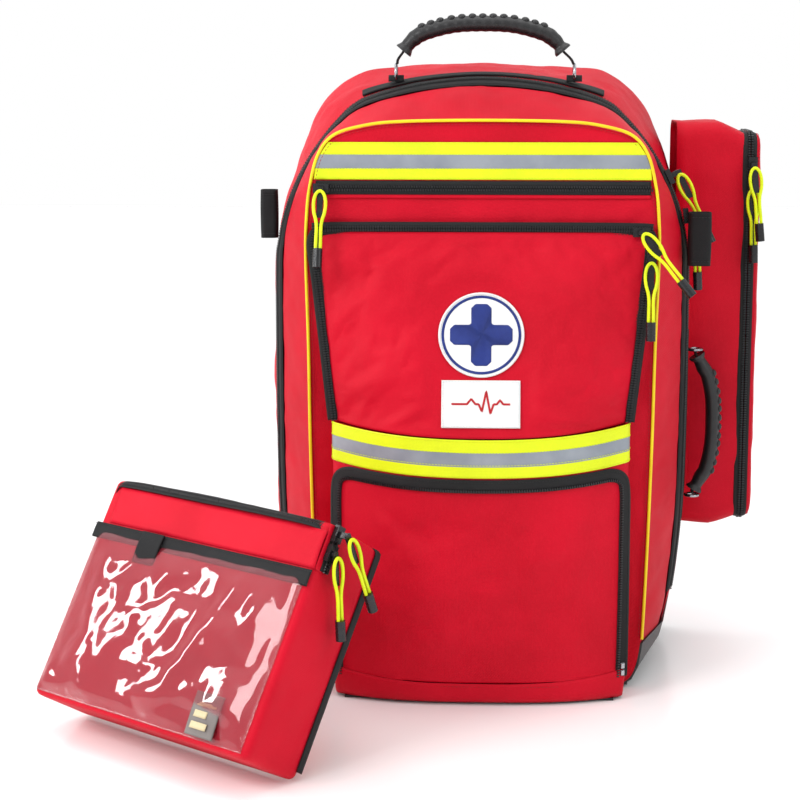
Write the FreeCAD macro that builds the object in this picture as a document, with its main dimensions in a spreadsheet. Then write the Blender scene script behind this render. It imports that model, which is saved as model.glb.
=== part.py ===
# Trauma backpack with a clip-on window pouch and a side pouch.
# Frame: millimetres, +Z up, +X to the wearer-side right as seen from the front,
# -Y is the front, +Y the back panel.  Origin on the floor under the pack's base.
import FreeCAD, Part
import math, os
from FreeCAD import Vector as V

doc = FreeCAD.newDocument("trauma_backpack")

# ------------------------------------------------------------------ dimensions
sheet = doc.addObject("Spreadsheet::Sheet", "Dims")
DIMS = [
    ("wall", 3.0), ("zip_y", -20.0), ("rear_y", 118.0), ("front_y", -100.0),
    ("tier_y", -158.0), ("zip_half", 12.0), ("zip_gap", 0.6), ("side_x", 203.0),
    ("arc_x", -7.0), ("arc_z", 400.0), ("arc_r", 210.0),
    ("hinge_y", -163.0), ("hinge_z", 20.0), ("zip_end_z", 78.0),
    ("boot_h", 46.0), ("boot_t", 2.2),
    ("board_t", 3.0), ("board_w", 380.0), ("board_low", 14.0), ("board_top", 590.0),
    ("shelf_w", 380.0), ("shelf_d", 104.0), ("shelf_t", 8.0), ("shelf_z1", 205.0), ("shelf_z2", 395.0),
    ("pad_w", 105.0), ("pad_l", 330.0), ("pad_t", 18.0), ("lumbar_w", 280.0), ("lumbar_l", 90.0),
    ("strap_w", 62.0), ("strap_t", 13.0), ("web_w", 25.0), ("web_t", 2.0),
    ("tape_w", 32.0), ("tape_t", 1.0),
    ("emblem_r", 40.0), ("patch_t", 1.2), ("name_w", 74.0), ("name_l", 45.0),
    ("emblem_z", 355.0), ("name_z", 292.0),
    ("flap_low", 268.0), ("flap_top", 446.0), ("flap_t", 4.0),
    ("lower_w", 272.0), ("lower_top", 262.0),
    ("mesh_w", 260.0), ("mesh_l", 300.0), ("mesh_t", 3.0),
    ("pouch_w", 276.0), ("pouch_l", 214.0), ("pouch_d", 74.0), ("pouch_yaw", -38.4), ("pouch_lean", -31.0),
    ("pouch_x", -264.0), ("pouch_y", -288.0), ("strip_l", 44.0), ("film_t", 0.8), ("band_l", 14.0),
    ("label_w", 33.0), ("label_l", 38.0),
    ("grip_r", 10.0), ("ring_wire", 3.0), ("loop_t", 2.0),
    ("sp_y0", 40.0), ("sp_x", 268.0), ("sp_low", 134.0), ("sp_top", 550.0),
    ("slide_l", 15.0), ("slide_w", 9.0), ("slide_t", 5.0), ("cord_d", 3.2), ("tab_w", 6.0), ("tab_l", 24.0),
    ("cap_d", 9.0), ("cap_l", 18.0),
]
for row, (name, value) in enumerate(DIMS, 1):
    sheet.set("A%d" % row, name)
    sheet.set("B%d" % row, str(value))
    sheet.setAlias("B%d" % row, name)
doc.recompute()
D = {name: float(sheet.get(name)) for name, _ in DIMS}
NODES = []


def feature(label, shape, placement=None):
    """A piece whose shape is worked out from the sheet's sizes."""
    o = doc.addObject("Part::Feature", label)
    o.Label = label
    o.Shape = shape
    if placement is not None:
        o.Placement = placement
    NODES.append(o)
    return o


def keep(obj, label):
    obj.Label = label
    NODES.append(obj)
    return obj


def block(name, length, width, height, pos, rot=None):
    """A Part::Box whose three sizes are expressions on the sheet."""
    b = doc.addObject("Part::Box", name)
    for prop, expr in (("Length", length), ("Width", width), ("Height", height)):
        if isinstance(expr, str):
            b.setExpression(prop, expr)
        else:
            setattr(b, prop, expr)
    b.Placement = FreeCAD.Placement(V(*pos), rot or FreeCAD.Rotation())
    return b


def fuse(name, *objs):
    f = doc.addObject("Part::MultiFuse", name)
    f.Shapes = list(objs)
    return f


def face(points):
    return Part.Face(Part.makePolygon([V(*p) for p in points] + [V(*points[0])]))


def prism_x(yz, x0, x1):
    return face([(x0, y, z) for y, z in yz]).extrude(V(x1 - x0, 0, 0))


def prism_y(xz, y0, y1):
    return face([(x, y0, z) for x, z in xz]).extrude(V(0, y1 - y0, 0))


def prism_z(xy, z0, z1):
    return face([(x, y, z0) for x, y in xy]).extrude(V(0, 0, z1 - z0))


def cuboid(x0, x1, y0, y1, z0, z1):
    return Part.makeBox(x1 - x0, y1 - y0, z1 - z0, V(x0, y0, z0))


# ------------------------------------------------------- outlines of the body
def arc(deg):
    a = math.radians(deg)
    return (D["arc_x"] + D["arc_r"] * math.cos(a), D["arc_z"] + D["arc_r"] * math.sin(a))


LOW = 2.6                                     # the fabric stands on the boot
ZIP = [(148, LOW), (168, 12), (181, 31), (189, 60), (195, 95), (201, 160), (203, 250), arc(0), arc(9),
       arc(18), arc(27), arc(36), arc(45), arc(53), (78, 581.5), (39, 588.5), (0, 591)]
PIPE = [(138, LOW), (148, 10), (154, 23), (158, 48), (160, 95), (162, 160), (164, 250), (165, 375), (167, 430),
        (166, 462), (163, 490), (155, 520), (143, 537), (112, 547), (76, 551), (38, 552.5), (0, 553)]
REAR = [(170, LOW), (190, 12), (202, 31), (208, 60), (212, 95), (217, 160), (218, 250), (215, 375), (210, 425),
        (204, 462), (196, 495), (184, 530), (166, 568), (130, 597), (86, 603), (43, 605), (0, 606)]


def grown(right, d, floor=None):
    """The half outline moved outwards by d, closed by its mirror image."""
    n = len(right)
    out = []
    for i, (x, z) in enumerate(right):
        x0, z0 = right[i - 1] if i else (0.0, z)
        x1, z1 = right[i + 1] if i < n - 1 else (-right[i - 1][0], right[i - 1][1])
        a = (z - z0, -(x - x0)); b = (z1 - z, -(x1 - x))
        la = math.hypot(*a) or 1.0; lb = math.hypot(*b) or 1.0
        nx, nz = a[0] / la + b[0] / lb, a[1] / la + b[1] / lb
        k = nx * nx + nz * nz
        nx, nz = 2 * nx / k, 2 * nz / k
        if i == n - 1:
            nx = 0.0
        px, pz = x + d * nx, z + d * nz
        if floor is not None:
            pz = max(pz, floor)
        out.append((px, pz))
    if floor is not None:
        out[0] = (out[0][0], floor)
    left = [(-x, z) for x, z in reversed(out[:-1])]
    return out + left


def mix(a, b, t):
    return [(p[0] + (q[0] - p[0]) * t, p[1] + (q[1] - p[1]) * t) for p, q in zip(a, b)]


def at(y):
    """The body's half outline at depth y."""
    if y >= D["zip_y"]:
        return mix(ZIP, REAR, (y - D["zip_y"]) / (D["rear_y"] - D["zip_y"]))
    return mix(ZIP, PIPE, (D["zip_y"] - y) / (D["zip_y"] - D["front_y"]))


def hull(stations, d, floor=None):
    """A solid between outlines at the given depths, each grown by d."""
    wires = []
    for y in stations:
        pts = grown(at(y), d, floor)
        wires.append(Part.makePolygon([V(x, y, z) for x, z in pts] + [V(pts[0][0], y, pts[0][1])]))
    return Part.makeLoft(wires, True, True)


def hull2(y0, d0, y1, d1, ref0=None, ref1=None, floor=None):
    a = grown(at(y0 if ref0 is None else ref0), d0, floor)
    b = grown(at(y1 if ref1 is None else ref1), d1, floor)
    w = [Part.makePolygon([V(x, y, z) for x, z in p] + [V(p[0][0], y, p[0][1])]) for y, p in ((y0, a), (y1, b))]
    return Part.makeLoft(w, True, True)


W = D["wall"]
ZY, RY, FY, TY = D["zip_y"], D["rear_y"], D["front_y"], D["tier_y"]
HY, HZ, EZ = D["hinge_y"], D["hinge_z"], D["zip_end_z"]
GAP = D["zip_gap"] / 2
SEAM_R = ZY + D["zip_half"]            # where the rear fabric meets its zip half
SEAM_F = ZY - D["zip_half"]            # where the front fabric meets its zip half
SLOPE = (EZ - HZ) / (ZY - HY)


def wedge(lift, y_back, top):
    """Side view of what lies above the fold line, from the hinge to the zip's end."""
    return [(HY - 60, HZ + lift - 60 * SLOPE), (y_back, EZ + lift + (y_back - ZY) * SLOPE), (y_back, top), (HY - 60, top)]


# ---------------------------------------------------------------- rear body
rear = hull2(SEAM_R, 0, RY, 0).cut(hull2(SEAM_R - 1, -W, RY - W, -W, ref0=SEAM_R, ref1=RY - W, floor=LOW + W))
feature("rear_shell", rear)

# floor panel, lower gussets and front lip: the part of the front half that stays down
low = hull2(ZY - GAP * 0, 0, FY, 0).fuse(hull2(SEAM_R - 0.2, 0, ZY, 0))
low = low.cut(hull2(SEAM_R + 1, -W, FY - 1, -W, ref0=SEAM_R, ref1=FY, floor=LOW + W))
keep_low = prism_x([(SEAM_R - 0.2, 0), (SEAM_R - 0.2, EZ - 0.4), (ZY, EZ - 0.4), (HY, HZ - 0.4), (HY, 0)], -300, 300)
low = low.common(keep_low)
lip = cuboid(-138, 138, TY, FY + 0.5, LOW, LOW + W).fuse(cuboid(-138, 138, TY, TY + W, LOW, HZ - 0.4)).fuse(
    cuboid(-138, -138 + W, TY, FY + 0.5, LOW, HZ + 1)).fuse(cuboid(138 - W, 138, TY, FY + 0.5, LOW, HZ + 1))
lip = lip.common(keep_low)
feature("lower_gusset", low.fuse(lip).removeSplitter())

bt = D["boot_t"]


def boot_outline(y):
    half = [p for p in at(y)]
    pts = []
    for x, z in half:
        if z <= D["boot_h"]:
            pts.append((x, z))
        else:
            x0, z0 = pts[-1]
            t = (D["boot_h"] - z0) / (z - z0)
            pts.append((x0 + (x - x0) * t, D["boot_h"]))
            break
    return pts


def boot_section(y):
    inner = boot_outline(y)
    outer = []
    for i, (x, z) in enumerate(inner):
        x0, z0 = inner[i - 1] if i else (0, z)
        x1, z1 = inner[i + 1] if i < len(inner) - 1 else (x + (x - x0), z + (z - z0))
        a = (z - z0, -(x - x0)); b = (z1 - z, -(x1 - x))
        la, lb = math.hypot(*a), math.hypot(*b)
        nx, nz = a[0] / la + b[0] / lb, a[1] / la + b[1] / lb
        k = nx * nx + nz * nz
        outer.append((x, z, 2 * nx / k, 2 * nz / k))
    out = [(x + (bt + 0.3) * nx, max(0.4, z + (bt + 0.3) * nz)) for x, z, nx, nz in outer]
    out[0] = (out[0][0], 0.4)
    out[-1] = (out[-1][0], D["boot_h"])
    inn = [(x + 0.3 * nx, max(LOW - 0.3, z + 0.3 * nz)) for x, z, nx, nz in outer]
    inn[0] = (inn[0][0], LOW - 0.3)
    inn[-1] = (inn[-1][0], D["boot_h"])
    ring = out + list(reversed(inn)) + [(-x, z) for x, z in inn] + [(-x, z) for x, z in reversed(out)]
    return ring


def boot_loft(y0, y1):
    w = []
    for y in (y0, y1):
        p = boot_section(y)
        w.append(Part.makePolygon([V(x, y, z) for x, z in p] + [V(p[0][0], y, p[0][1])]))
    return Part.makeLoft(w, True, True)


tray = boot_loft(ZY, FY + 1).common(prism_x([(ZY + 5, -1), (ZY + 5, EZ - 1), (ZY, EZ - 1), (HY, HZ - 1), (HY, -1)], -300, 300))
boot = boot_loft(RY + 2.4, ZY).fuse(tray)
boot = boot.fuse(cuboid(-206, 206, RY + 0.3, RY + 2.4, 0.4, D["boot_h"]).common(prism_y(
    [(-172, 0.4), (172, 0.4), (192, 12), (204, 31), (208, 46), (-208, 46), (-204, 31), (-192, 12)], RY, RY + 3)))
# flat base panel that the pack stands on
boot = boot.fuse(cuboid(-130, 130, TY + 1, RY - 6, 0, LOW - 0.3))
feature("base_boot", boot.removeSplitter())

# stiff plastic board in the back panel: a sketched plate with clipped shoulders
body = doc.addObject("PartDesign::Body", "BoardBody")
sk = body.newObject("Sketcher::SketchObject", "BoardSketch")
plane = [f for f in body.Origin.OriginFeatures if f.Role == "XZ_Plane"][0]
sk.AttachmentSupport = [(plane, "")]
sk.MapMode = "FlatFace"
bw, bl, btop = D["board_w"] / 2, D["board_low"], D["board_top"]
pl = [(-bw, bl), (bw, bl), (bw, 440), (150, 550), (118, btop), (-118, btop), (-150, 550), (-bw, 440)]
pl = [(x * (0.985 if abs(x) > 150 else 1), z) for x, z in pl]
for i in range(len(pl)):
    a, b = pl[i], pl[(i + 1) % len(pl)]
    sk.addGeometry(Part.LineSegment(V(a[0], a[1], 0), V(b[0], b[1], 0)), False)
pad = body.newObject("PartDesign::Pad", "BoardPad")
pad.Profile = sk
pad.setExpression("Length", "Dims.board_t")
doc.recompute()
body.Placement = FreeCAD.Placement(V(0, RY - W - 0.5, 0), FreeCAD.Rotation())
keep(body, "back_board")

# padded shelves and a divider: two shelves across, one upright between them
s1 = block("ShelfLow", "Dims.shelf_w", "Dims.shelf_d", "Dims.shelf_t", (-190, 4, D["shelf_z1"]))
s2 = block("ShelfHigh", "Dims.shelf_w", "Dims.shelf_d", "Dims.shelf_t", (-190, 4, D["shelf_z2"]))
s3 = block("Upright", "Dims.shelf_t", "Dims.shelf_d", "Dims.shelf_z2 - Dims.shelf_z1 - Dims.shelf_t - 1",
           (-4, 4, D["shelf_z1"] + D["shelf_t"] + 0.5))
keep(fuse("Shelves", s1, s2, s3), "compartment_dividers")


def zip_band(y0, y1, e_in, e_out, bottom):
    ring = hull2(y0, e_out, y1, e_out).cut(hull2(y0 + 1, -e_in, y1 - 1, -e_in, ref0=y0, ref1=y1))
    return ring.common(cuboid(-300, 300, -200, 200, bottom, 700))


feature("main_zip_rear", zip_band(SEAM_R - 0.2, ZY + GAP, W, 0.8, EZ + 0.3))

# back padding: two upright pads and a lumbar pad
p1 = block("PadLeft", "Dims.pad_w", "Dims.pad_t", "Dims.pad_l", (-140, RY + 0.4, 200))
p2 = block("PadRight", "Dims.pad_w", "Dims.pad_t", "Dims.pad_l", (35, RY + 0.4, 200))
p3 = block("PadLumbar", "Dims.lumbar_w", "Dims.pad_t", "Dims.lumbar_l", (-140, RY + 0.4, 85))
keep(fuse("Pads", p1, p2, p3), "back_padding")

# shoulder straps folded down over the back padding
sw, st = D["strap_w"], D["strap_t"]
prof = [(RY + 0.4, 578), (RY + 0.4, 560), (RY + 21, 548), (RY + 21, 250), (RY + 21 + st, 250), (RY + 21 + st, 556), (RY + 6, 578)]
feature("shoulder_straps", Part.makeCompound([prism_x(prof, -118, -118 + sw), prism_x(prof, 118 - sw, 118)]))


def ribbon(pts, width_dir, width, thick, normal):
    """A flat strap through pts, width along width_dir, thickness along normal."""
    out = None
    for a, b in zip(pts, pts[1:]):
        a, b = V(*a), V(*b)
        w = V(*width_dir) * (width / 2)
        n = V(*normal) * thick
        f = Part.Face(Part.makePolygon([a - w, a + w, b + w, b - w, a - w]))
        s = f.extrude(n)
        out = s if out is None else out.fuse(s)
    return out


ww, wt = D["web_w"], D["web_t"]
webs = []
for sgn in (-1, 1):
    webs.append(prism_x([(RY + 23, 214), (RY + 25, 214), (RY + 22.4, 84), (RY + 4.6, 61), (RY + 4.6, 48), (RY + 2.6, 48), (RY + 2.6, 61.8), (RY + 20.4, 84.8)], sgn * 87 - ww / 2, sgn * 87 + ww / 2))
feature("strap_webbing", Part.makeCompound(webs))
bk = []
for sgn in (-1, 1):
    frame = cuboid(sgn * 87 - 18, sgn * 87 + 18, RY + 21, RY + 27, 216, 249.6)
    for z0 in (220, 233):
        frame = frame.cut(cuboid(sgn * 87 - 13.5, sgn * 87 + 13.5, RY + 20, RY + 28, z0, z0 + 9))
    bk.append(frame)
feature("strap_buckles", Part.makeCompound(bk))

# --------------------------------------------------------------- side pouch
sy0, sx, szl, szt = D["sp_y0"], D["sp_x"], D["sp_low"], D["sp_top"]


def rrect(x, y0, y1, z0, z1, c):
    return [V(x, y0 + c, z0), V(x, y1 - c, z0), V(x, y1, z0 + c), V(x, y1, z1 - c), V(x, y1 - c, z1), V(x, y0 + c, z1),
            V(x, y0, z1 - c), V(x, y0, z0 + c), V(x, y0 + c, z0)]


def sp_solid(d, x_end, x_start=150):
    w = [Part.makePolygon(rrect(x_start, sy0 + d, RY - 0.5 - d, szl + d, szt - d, 10)),
         Part.makePolygon(rrect(238, sy0 + d, RY - 0.5 - d, szl + d, szt - 3 - d, 10)),
         Part.makePolygon(rrect(x_end, sy0 + d, RY - 0.5 - d, szl + 7 + d, szt - 14 - d, 14))]
    return Part.makeLoft(w, True, True)


side = sp_solid(0, sx - 0.2).cut(hull2(SEAM_R, 0.5, RY, 0.5))
inner = sp_solid(W, sx + 2).cut(hull2(SEAM_R, 0.5 + W, RY, 0.5 + W))
feature("side_pouch_body", side.cut(inner))


def sp_ring(x0, x1, d_out, thick):
    a = Part.makePolygon(rrect(x0, sy0 - d_out, RY - 0.5, szl + 7 - d_out, szt - 14 + d_out, 14))
    b = Part.makePolygon(rrect(x0, sy0 + thick, RY - 0.5 - thick, szl + 7 + thick, szt - 14 - thick, 13))
    f = Part.Face(a).cut(Part.Face(b))
    return f.extrude(V(x1 - x0, 0, 0)) if f.Area else None


ring1 = sp_ring(sx, sx + 4, 0.6, W).cut(cuboid(200, 400, RY - 12, 200, 100, 600))
feature("side_pouch_zip_body", ring1)
sl = Part.makeLoft([Part.makePolygon(rrect(sx + 4.6, sy0, RY - 0.5, szl + 7, szt - 14, 14)),
                    Part.makePolygon(rrect(sx + 8.2, sy0, RY - 0.5, szl + 7, szt - 14, 14)),
                    Part.makePolygon(rrect(sx + 14, sy0 + 8, RY - 8.5, szl + 16, szt - 24, 14))], True, True)
feature("side_pouch_lid", sl)

# ------------------------------------------------------------- webbing loops
lt = D["loop_t"]


def loop(x0, x1, y0, y1, z0, z1):
    return cuboid(x0, x1, y0, y1, z0, z1).cut(cuboid(x0 + lt, x1 - lt, y0 + lt, y1 - lt, z0 - 1, z1 + 1))


feature("webbing_loop_right", loop(201.4, 223, -50, -33.5, 414, 462))
feature("webbing_loop_left", loop(-221.5, -204.6, -7, 9, 436, 480))

# -------------------------------------------------------------- carry handles
# top handle: rings on short tabs at the crown of the rear gusset, behind the zip
rw = D["ring_wire"]


def d_ring(c, r, axis):
    return Part.makeTorus(r, rw / 2, V(*c), V(*axis))


crown = {-1: 583.5, 1: 581.0}
TOPX = {-1: -86.0, 1: 90.0}
top_y = 4.0
rings = []
tabs = []
for sgn in (-1, 1):
    x = TOPX[sgn]
    z = 597.5
    rings.append(d_ring((x, top_y, z), 8.0, (1, 0, 0)))
# side handle rings: on the rear gusset, just behind the zip
for z in (322.0, 172.0):
    rings.append(d_ring((216.0, 6.0, z), 6.6, (0, 0, 1)))
feature("handle_rings", Part.makeCompound(rings))


def surf_z(x, y):
    half = at(y)
    pts = [(p[0], p[1]) for p in half]
    for (xa, za), (xb, zb) in zip(pts, pts[1:]):
        if xb <= x <= xa and za > 300:
            t = (x - xa) / (xb - xa) if xb != xa else 0
            return za + t * (zb - za)
    return 591.0


# webbing strip over the crown that carries the two ring tabs
pts = []
for x in (-118, -86, -50, 0, 50, 90, 118):
    pts.append((x, surf_z(abs(x), top_y - 9.5 + 12) + 1.6))
upper = [(x, z + 2.0) for x, z in pts]
strip = prism_y(pts + list(reversed(upper)), top_y - 7, top_y + 12)
body_skin = hull2(SEAM_R - 0.3, 0.3, RY, 0.3, ref0=SEAM_R, ref1=RY)
feature("handle_straps", Part.makeCompound([strip.cut(body_skin), cuboid(203.6, 207.2, -6, 15, 150, 344).cut(body_skin)]))


def pipe(points, radius, caps=True):
    """A round bar through points: straight runs joined by tangent arcs."""
    P = [V(*p) for p in points]
    edges, radii = [], []
    start = P[0]
    for i in range(1, len(P) - 1):
        a, b = P[i - 1] - P[i], P[i + 1] - P[i]
        run = min(a.Length, b.Length)
        a = a.normalize(); b = b.normalize()
        turn = math.pi - math.acos(max(-1, min(1, a.dot(b))))
        r = 0.45 * run / math.tan(turn / 2)
        t = 0.45 * run
        p0, p1 = P[i] + a * t, P[i] + b * t
        bis = (a + b).normalize()
        c = P[i] + bis * math.hypot(r, t)
        m = c - bis * r
        edges.append(Part.LineSegment(start, p0).toShape())
        edges.append(Part.Arc(p0, m, p1).toShape())
        start = p1
        radii.append(r)
    edges.append(Part.LineSegment(start, P[-1]).toShape())
    wire = Part.Wire(edges)
    d0 = (P[1] - P[0])
    circ = Part.Wire(Part.makeCircle(radius, P[0], d0))
    solid = wire.makePipeShell([circ], True, False)
    return solid, wire, radii


gr = D["grip_r"]
grip_path = [(-76, top_y, 622), (-58, top_y, 637), (-30, top_y, 644), (0, top_y, 645.5), (30, top_y, 644), (58, top_y, 637), (76, top_y, 622)]
g, _, _ = pipe(grip_path, gr)
feature("top_handle_grip", g)
wl = []
for sgn in (-1, 1):
    x = TOPX[sgn]
    a = V(x, top_y, 608.6)
    b = V(78.2 * sgn, top_y, 620.4)
    d = (b - a).normalize()
    nrm = V(d.z, 0, -d.x) * 1.2
    w = V(0, 9, 0)
    f = Part.Face(Part.makePolygon([a - w - nrm, a + w - nrm, a + w + nrm, a - w + nrm, a - w - nrm]))
    wl.append(f.extrude(b - a))
feature("top_handle_webbing", Part.makeCompound(wl))
side_path = [(219, 6, 312), (229.5, 6, 296), (234, 6, 272), (235, 6, 247), (234, 6, 222), (229.5, 6, 198), (219, 6, 182)]
g, _, _ = pipe(side_path, gr)
feature("side_handle_grip", g)
wl = []
for zc, ze in ((319.4, 313.4), (174.6, 180.6)):
    a = V(217.2, 6, zc)
    b = V(218.2, 6, ze)
    d = (b - a).normalize()
    nrm = V(d.z, 0, -d.x) * 1.0
    w = V(0, 8, 0)
    f = Part.Face(Part.makePolygon([a - w - nrm, a + w - nrm, a + w + nrm, a - w + nrm, a - w - nrm]))
    wl.append(f.extrude(b - a))
feature("side_handle_webbing", Part.makeCompound(wl))

# ---------------------------------------------------------------- front lid
lid = hull2(SEAM_F, 0, FY, 0).cut(hull2(SEAM_F + 1, -W, FY + W, -W, ref0=SEAM_F, ref1=FY))
above = prism_x(wedge(0.4, SEAM_F + 5, 700), -300, 300)
feature("front_shell", lid.common(above))
zf = zip_band(ZY - GAP, SEAM_F + 0.2, W, 0.8, EZ + 1.2)
feature("main_zip_front", zf)

# piping cord on the edge of the front panel
pp = [(x, z) for x, z in PIPE if z > 48]
pr = 1.6
pts = [(x + 1.2, FY - 2.1, z + (1.2 if z > 500 else 0)) for x, z in [(158.2, 50), (160, 95), (162, 160), (164, 250), (165, 340), (167, 425), (166, 462), (163, 490), (155, 520), (140, 539), (112, 548), (76, 552)]]
pts += [(0, FY - 2.1, 554.4)] + [(-x, y, z) for x, y, z in reversed(pts)]
g, _, _ = pipe(pts, pr)
feature("piping", g)

# upper reflective tape, top pocket zip
feature("upper_reflective_tape", prism_y([(-159, 498.5), (159, 498.5), (151, 521), (138, 534), (-138, 534), (-151, 521)], FY - 0.3, FY - 1.3))
tz = block("TopZip", 317, "Dims.tape_t + 1", 14, (-158, FY - 0.3 - 2, 483.5))
keep(tz, "top_pocket_zip")

# middle pocket: a fixed frame of gusset and zip, and a front panel that folds down
FL, FT = D["flap_low"], D["flap_top"]


def flap_y(z):
    """Depth of the pocket front's outer face: it leans forward towards its foot."""
    return -106.0 + (-162.0 + 106.0) * (456.0 - z) / (456.0 - 262.0)


def edge_y(z):
    """Depth of the pocket front's side edges, where its zip runs."""
    return -106.0 - 12.0 * (456.0 - z) / 194.0


sidew = []
for sgn in (-1, 1):
    x_top, x_low = 157.0, 136.0
    pts_a = [V(sgn * x_low, FY - 0.3, FL), V(sgn * x_top, FY - 0.3, FT), V(sgn * x_top, edge_y(FT) + 4.4, FT), V(sgn * x_low, edge_y(FL) + 4.6, FL)]
    f = Part.makePolygon(pts_a + [pts_a[0]])
    f2 = Part.makePolygon([p - V(sgn * 2.2, 0, 0) for p in pts_a + [pts_a[0]]])
    sidew.append(Part.makeLoft([f, f2], True, True))
bottom = prism_z([(-135.5, FY - 0.3), (135.5, FY - 0.3), (135.5, edge_y(FL) + 4.6), (95, flap_y(FL) + 8.0), (-95, flap_y(FL) + 8.0), (-135.5, edge_y(FL) + 4.6)], FL - 2.6, FL + 0.2)
top = cuboid(-157, 157, edge_y(FT) + 4.4, FY - 0.3, FT - 0.2, FT + 2.2)
feature("mid_pocket_gusset", sidew[0].fuse(sidew[1]).fuse(bottom).fuse(top).removeSplitter())


def slanted(xz, front, back):
    """A plate along the pocket front's edges, between two depths off them."""
    w = []
    for off in (front, back):
        pts = [V(x, edge_y(z) + off, z) for x, z in xz]
        w.append(Part.makePolygon(pts + [pts[0]]))
    return Part.makeLoft(w, True, True)


def flap_section(z, xe, xm):
    """Crowned cross-section of the pocket front: its middle stands proud of its side edges."""
    t = D["flap_t"]
    q = [(-xe, edge_y(z)), (-xm, flap_y(z)), (xm, flap_y(z)), (xe, edge_y(z)), (xe, edge_y(z) + t), (xm - 2, flap_y(z) + t), (-xm + 2, flap_y(z) + t), (-xe, edge_y(z) + t)]
    return Part.makePolygon([V(x, y, z) for x, y in q + [q[0]]])


zip_o = [(-144, FL + 2), (-137.5, FL + 2), (-157.2, FT - 10), (-151, FT + 3.2), (151, FT + 3.2), (157.2, FT - 10), (137.5, FL + 2), (144, FL + 2), (165, FT - 8), (160, FT + 9), (-160, FT + 9), (-165, FT - 8)]
feature("mid_pocket_flap", Part.makeLoft([flap_section(FL + 1, 133, 95), flap_section(FT - 14, 152, 118), flap_section(FT - 1, 150, 120)], True, True))
feature("mid_pocket_zip", slanted(zip_o, 0.2, 3.6))

# patches on the flap
tilt = FreeCAD.Rotation(V(1, 0, 0), 90 - math.degrees(math.atan2(56.0, 194.0)))


def patch_body(label, z, circle=True):
    b = doc.addObject("PartDesign::Body", label + "Body")
    s = b.newObject("Sketcher::SketchObject", label + "Sketch")
    s.AttachmentSupport = [([f for f in b.Origin.OriginFeatures if f.Role == "XY_Plane"][0], "")]
    s.MapMode = "FlatFace"
    if circle:
        s.addGeometry(Part.Circle(V(0, 0, 0), V(0, 0, 1), D["emblem_r"]), False)
    else:
        w2, l2 = D["name_w"] / 2, D["name_l"] / 2
        q = [(-w2, -l2), (w2, -l2), (w2, l2), (-w2, l2)]
        for i in range(4):
            s.addGeometry(Part.LineSegment(V(*q[i], 0), V(*q[(i + 1) % 4], 0)), False)
    p = b.newObject("PartDesign::Pad", label + "Pad")
    p.Profile = s
    p.setExpression("Length", "Dims.patch_t")
    doc.recompute()
    b.Placement = FreeCAD.Placement(V(0, flap_y(z) - 0.4, z), tilt)
    return keep(b, label)


patch_body("emblem_patch", D["emblem_z"], True)
patch_body("name_patch", D["name_z"], False)

# lower front tier with the second tape and the half zip that takes the window pouch
LWX = D["lower_w"] / 2
LT = D["lower_top"]
tier = prism_x([(FY - 0.3, HZ + 1), (TY - 2, HZ + 1), (TY - 2, LT), (FY - 0.3, LT)], -LWX, LWX)
tier_in = prism_x([(FY - 0.3 - W, HZ - 30), (TY - 2 + W, HZ - 30), (TY - 2 + W, LT - W), (FY - 0.3 - W, LT - W)], -LWX + W, LWX - W)
# the tier's underside follows the fold line
cutter = prism_x(wedge(0.4, SEAM_F + 5, 700), -300, 300)
tier_solid = tier.common(cutter)
tier_in = tier_in.common(prism_x(wedge(0.4 + W, SEAM_F + 5, 700), -300, 300))
tier_solid = tier_solid.cut(tier_in)
feature("lower_pocket", tier_solid)
tape_low = cuboid(-134, 134, TY - 3.4, TY - 2.3, 224, 259)
wrap = []
for sgn in (-1, 1):
    wrap.append(cuboid(min(sgn * (LWX + 0.3), sgn * (LWX + 1.3)), max(sgn * (LWX + 0.3), sgn * (LWX + 1.3)), TY - 3.4, TY + 22, 226, 261))
    wrap.append(cuboid(min(sgn * 133, sgn * (LWX + 1.3)), max(sgn * 133, sgn * (LWX + 1.3)), TY - 3.4, TY - 2.3, 224, 261))
t = tape_low
for w_ in wrap:
    t = t.fuse(w_)
feature("lower_reflective_tape", t.removeSplitter())
zo = [(-136, 30), (-124, 30), (-124, 204), (-116, 211), (116, 211), (124, 204), (124, 30), (136, 30), (136, 212), (128, 222.5), (-128, 222.5), (-136, 212)]
feature("panel_zip_half", prism_y(zo, TY - 2.3, TY - 4.6))

# mesh pocket inside the lid
mesh = block("Mesh", "Dims.mesh_w", "Dims.mesh_t", "Dims.mesh_l", (-130, FY + W + 4, 170))
keep(mesh, "lid_mesh_pocket")

# ------------------------------------------------- detached window pouch
# Own frame: X along its width, Y from its back (0) to its front (negative), Z up its height.
PW, PL, PD = D["pouch_w"] / 2, D["pouch_l"], D["pouch_d"]
rot = FreeCAD.Rotation(V(0, 0, 1), D["pouch_yaw"]).multiply(FreeCAD.Rotation(V(1, 0, 0), D["pouch_lean"]))
PPL = FreeCAD.Placement(V(D["pouch_x"], D["pouch_y"], 0.0), rot)
SL = D["strip_l"]
outer = cuboid(-PW, PW, -PD, 0, 0, PL)
inner = cuboid(-PW + W, PW - W, -PD + W, -W, W, PL - W)
slot = cuboid(-PW + 14, PW + 1, -PD - 1, -PD + 16, PL - SL, PL + 1)   # the strip and the zip live here
pouch = outer.cut(inner).cut(slot)
feature("pouch_body", pouch, PPL)
st_o = cuboid(-PW + 14.5, PW, -PD, -PD + W, PL - SL + 0.6, PL).fuse(cuboid(-PW + 14.5, PW, -PD, -PD + 9, PL - W, PL)).fuse(
    cuboid(PW - W, PW, -PD, -PD + 9, PL - SL + 0.6, PL))
feature("pouch_flap", st_o.removeSplitter(), PPL)
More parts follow.
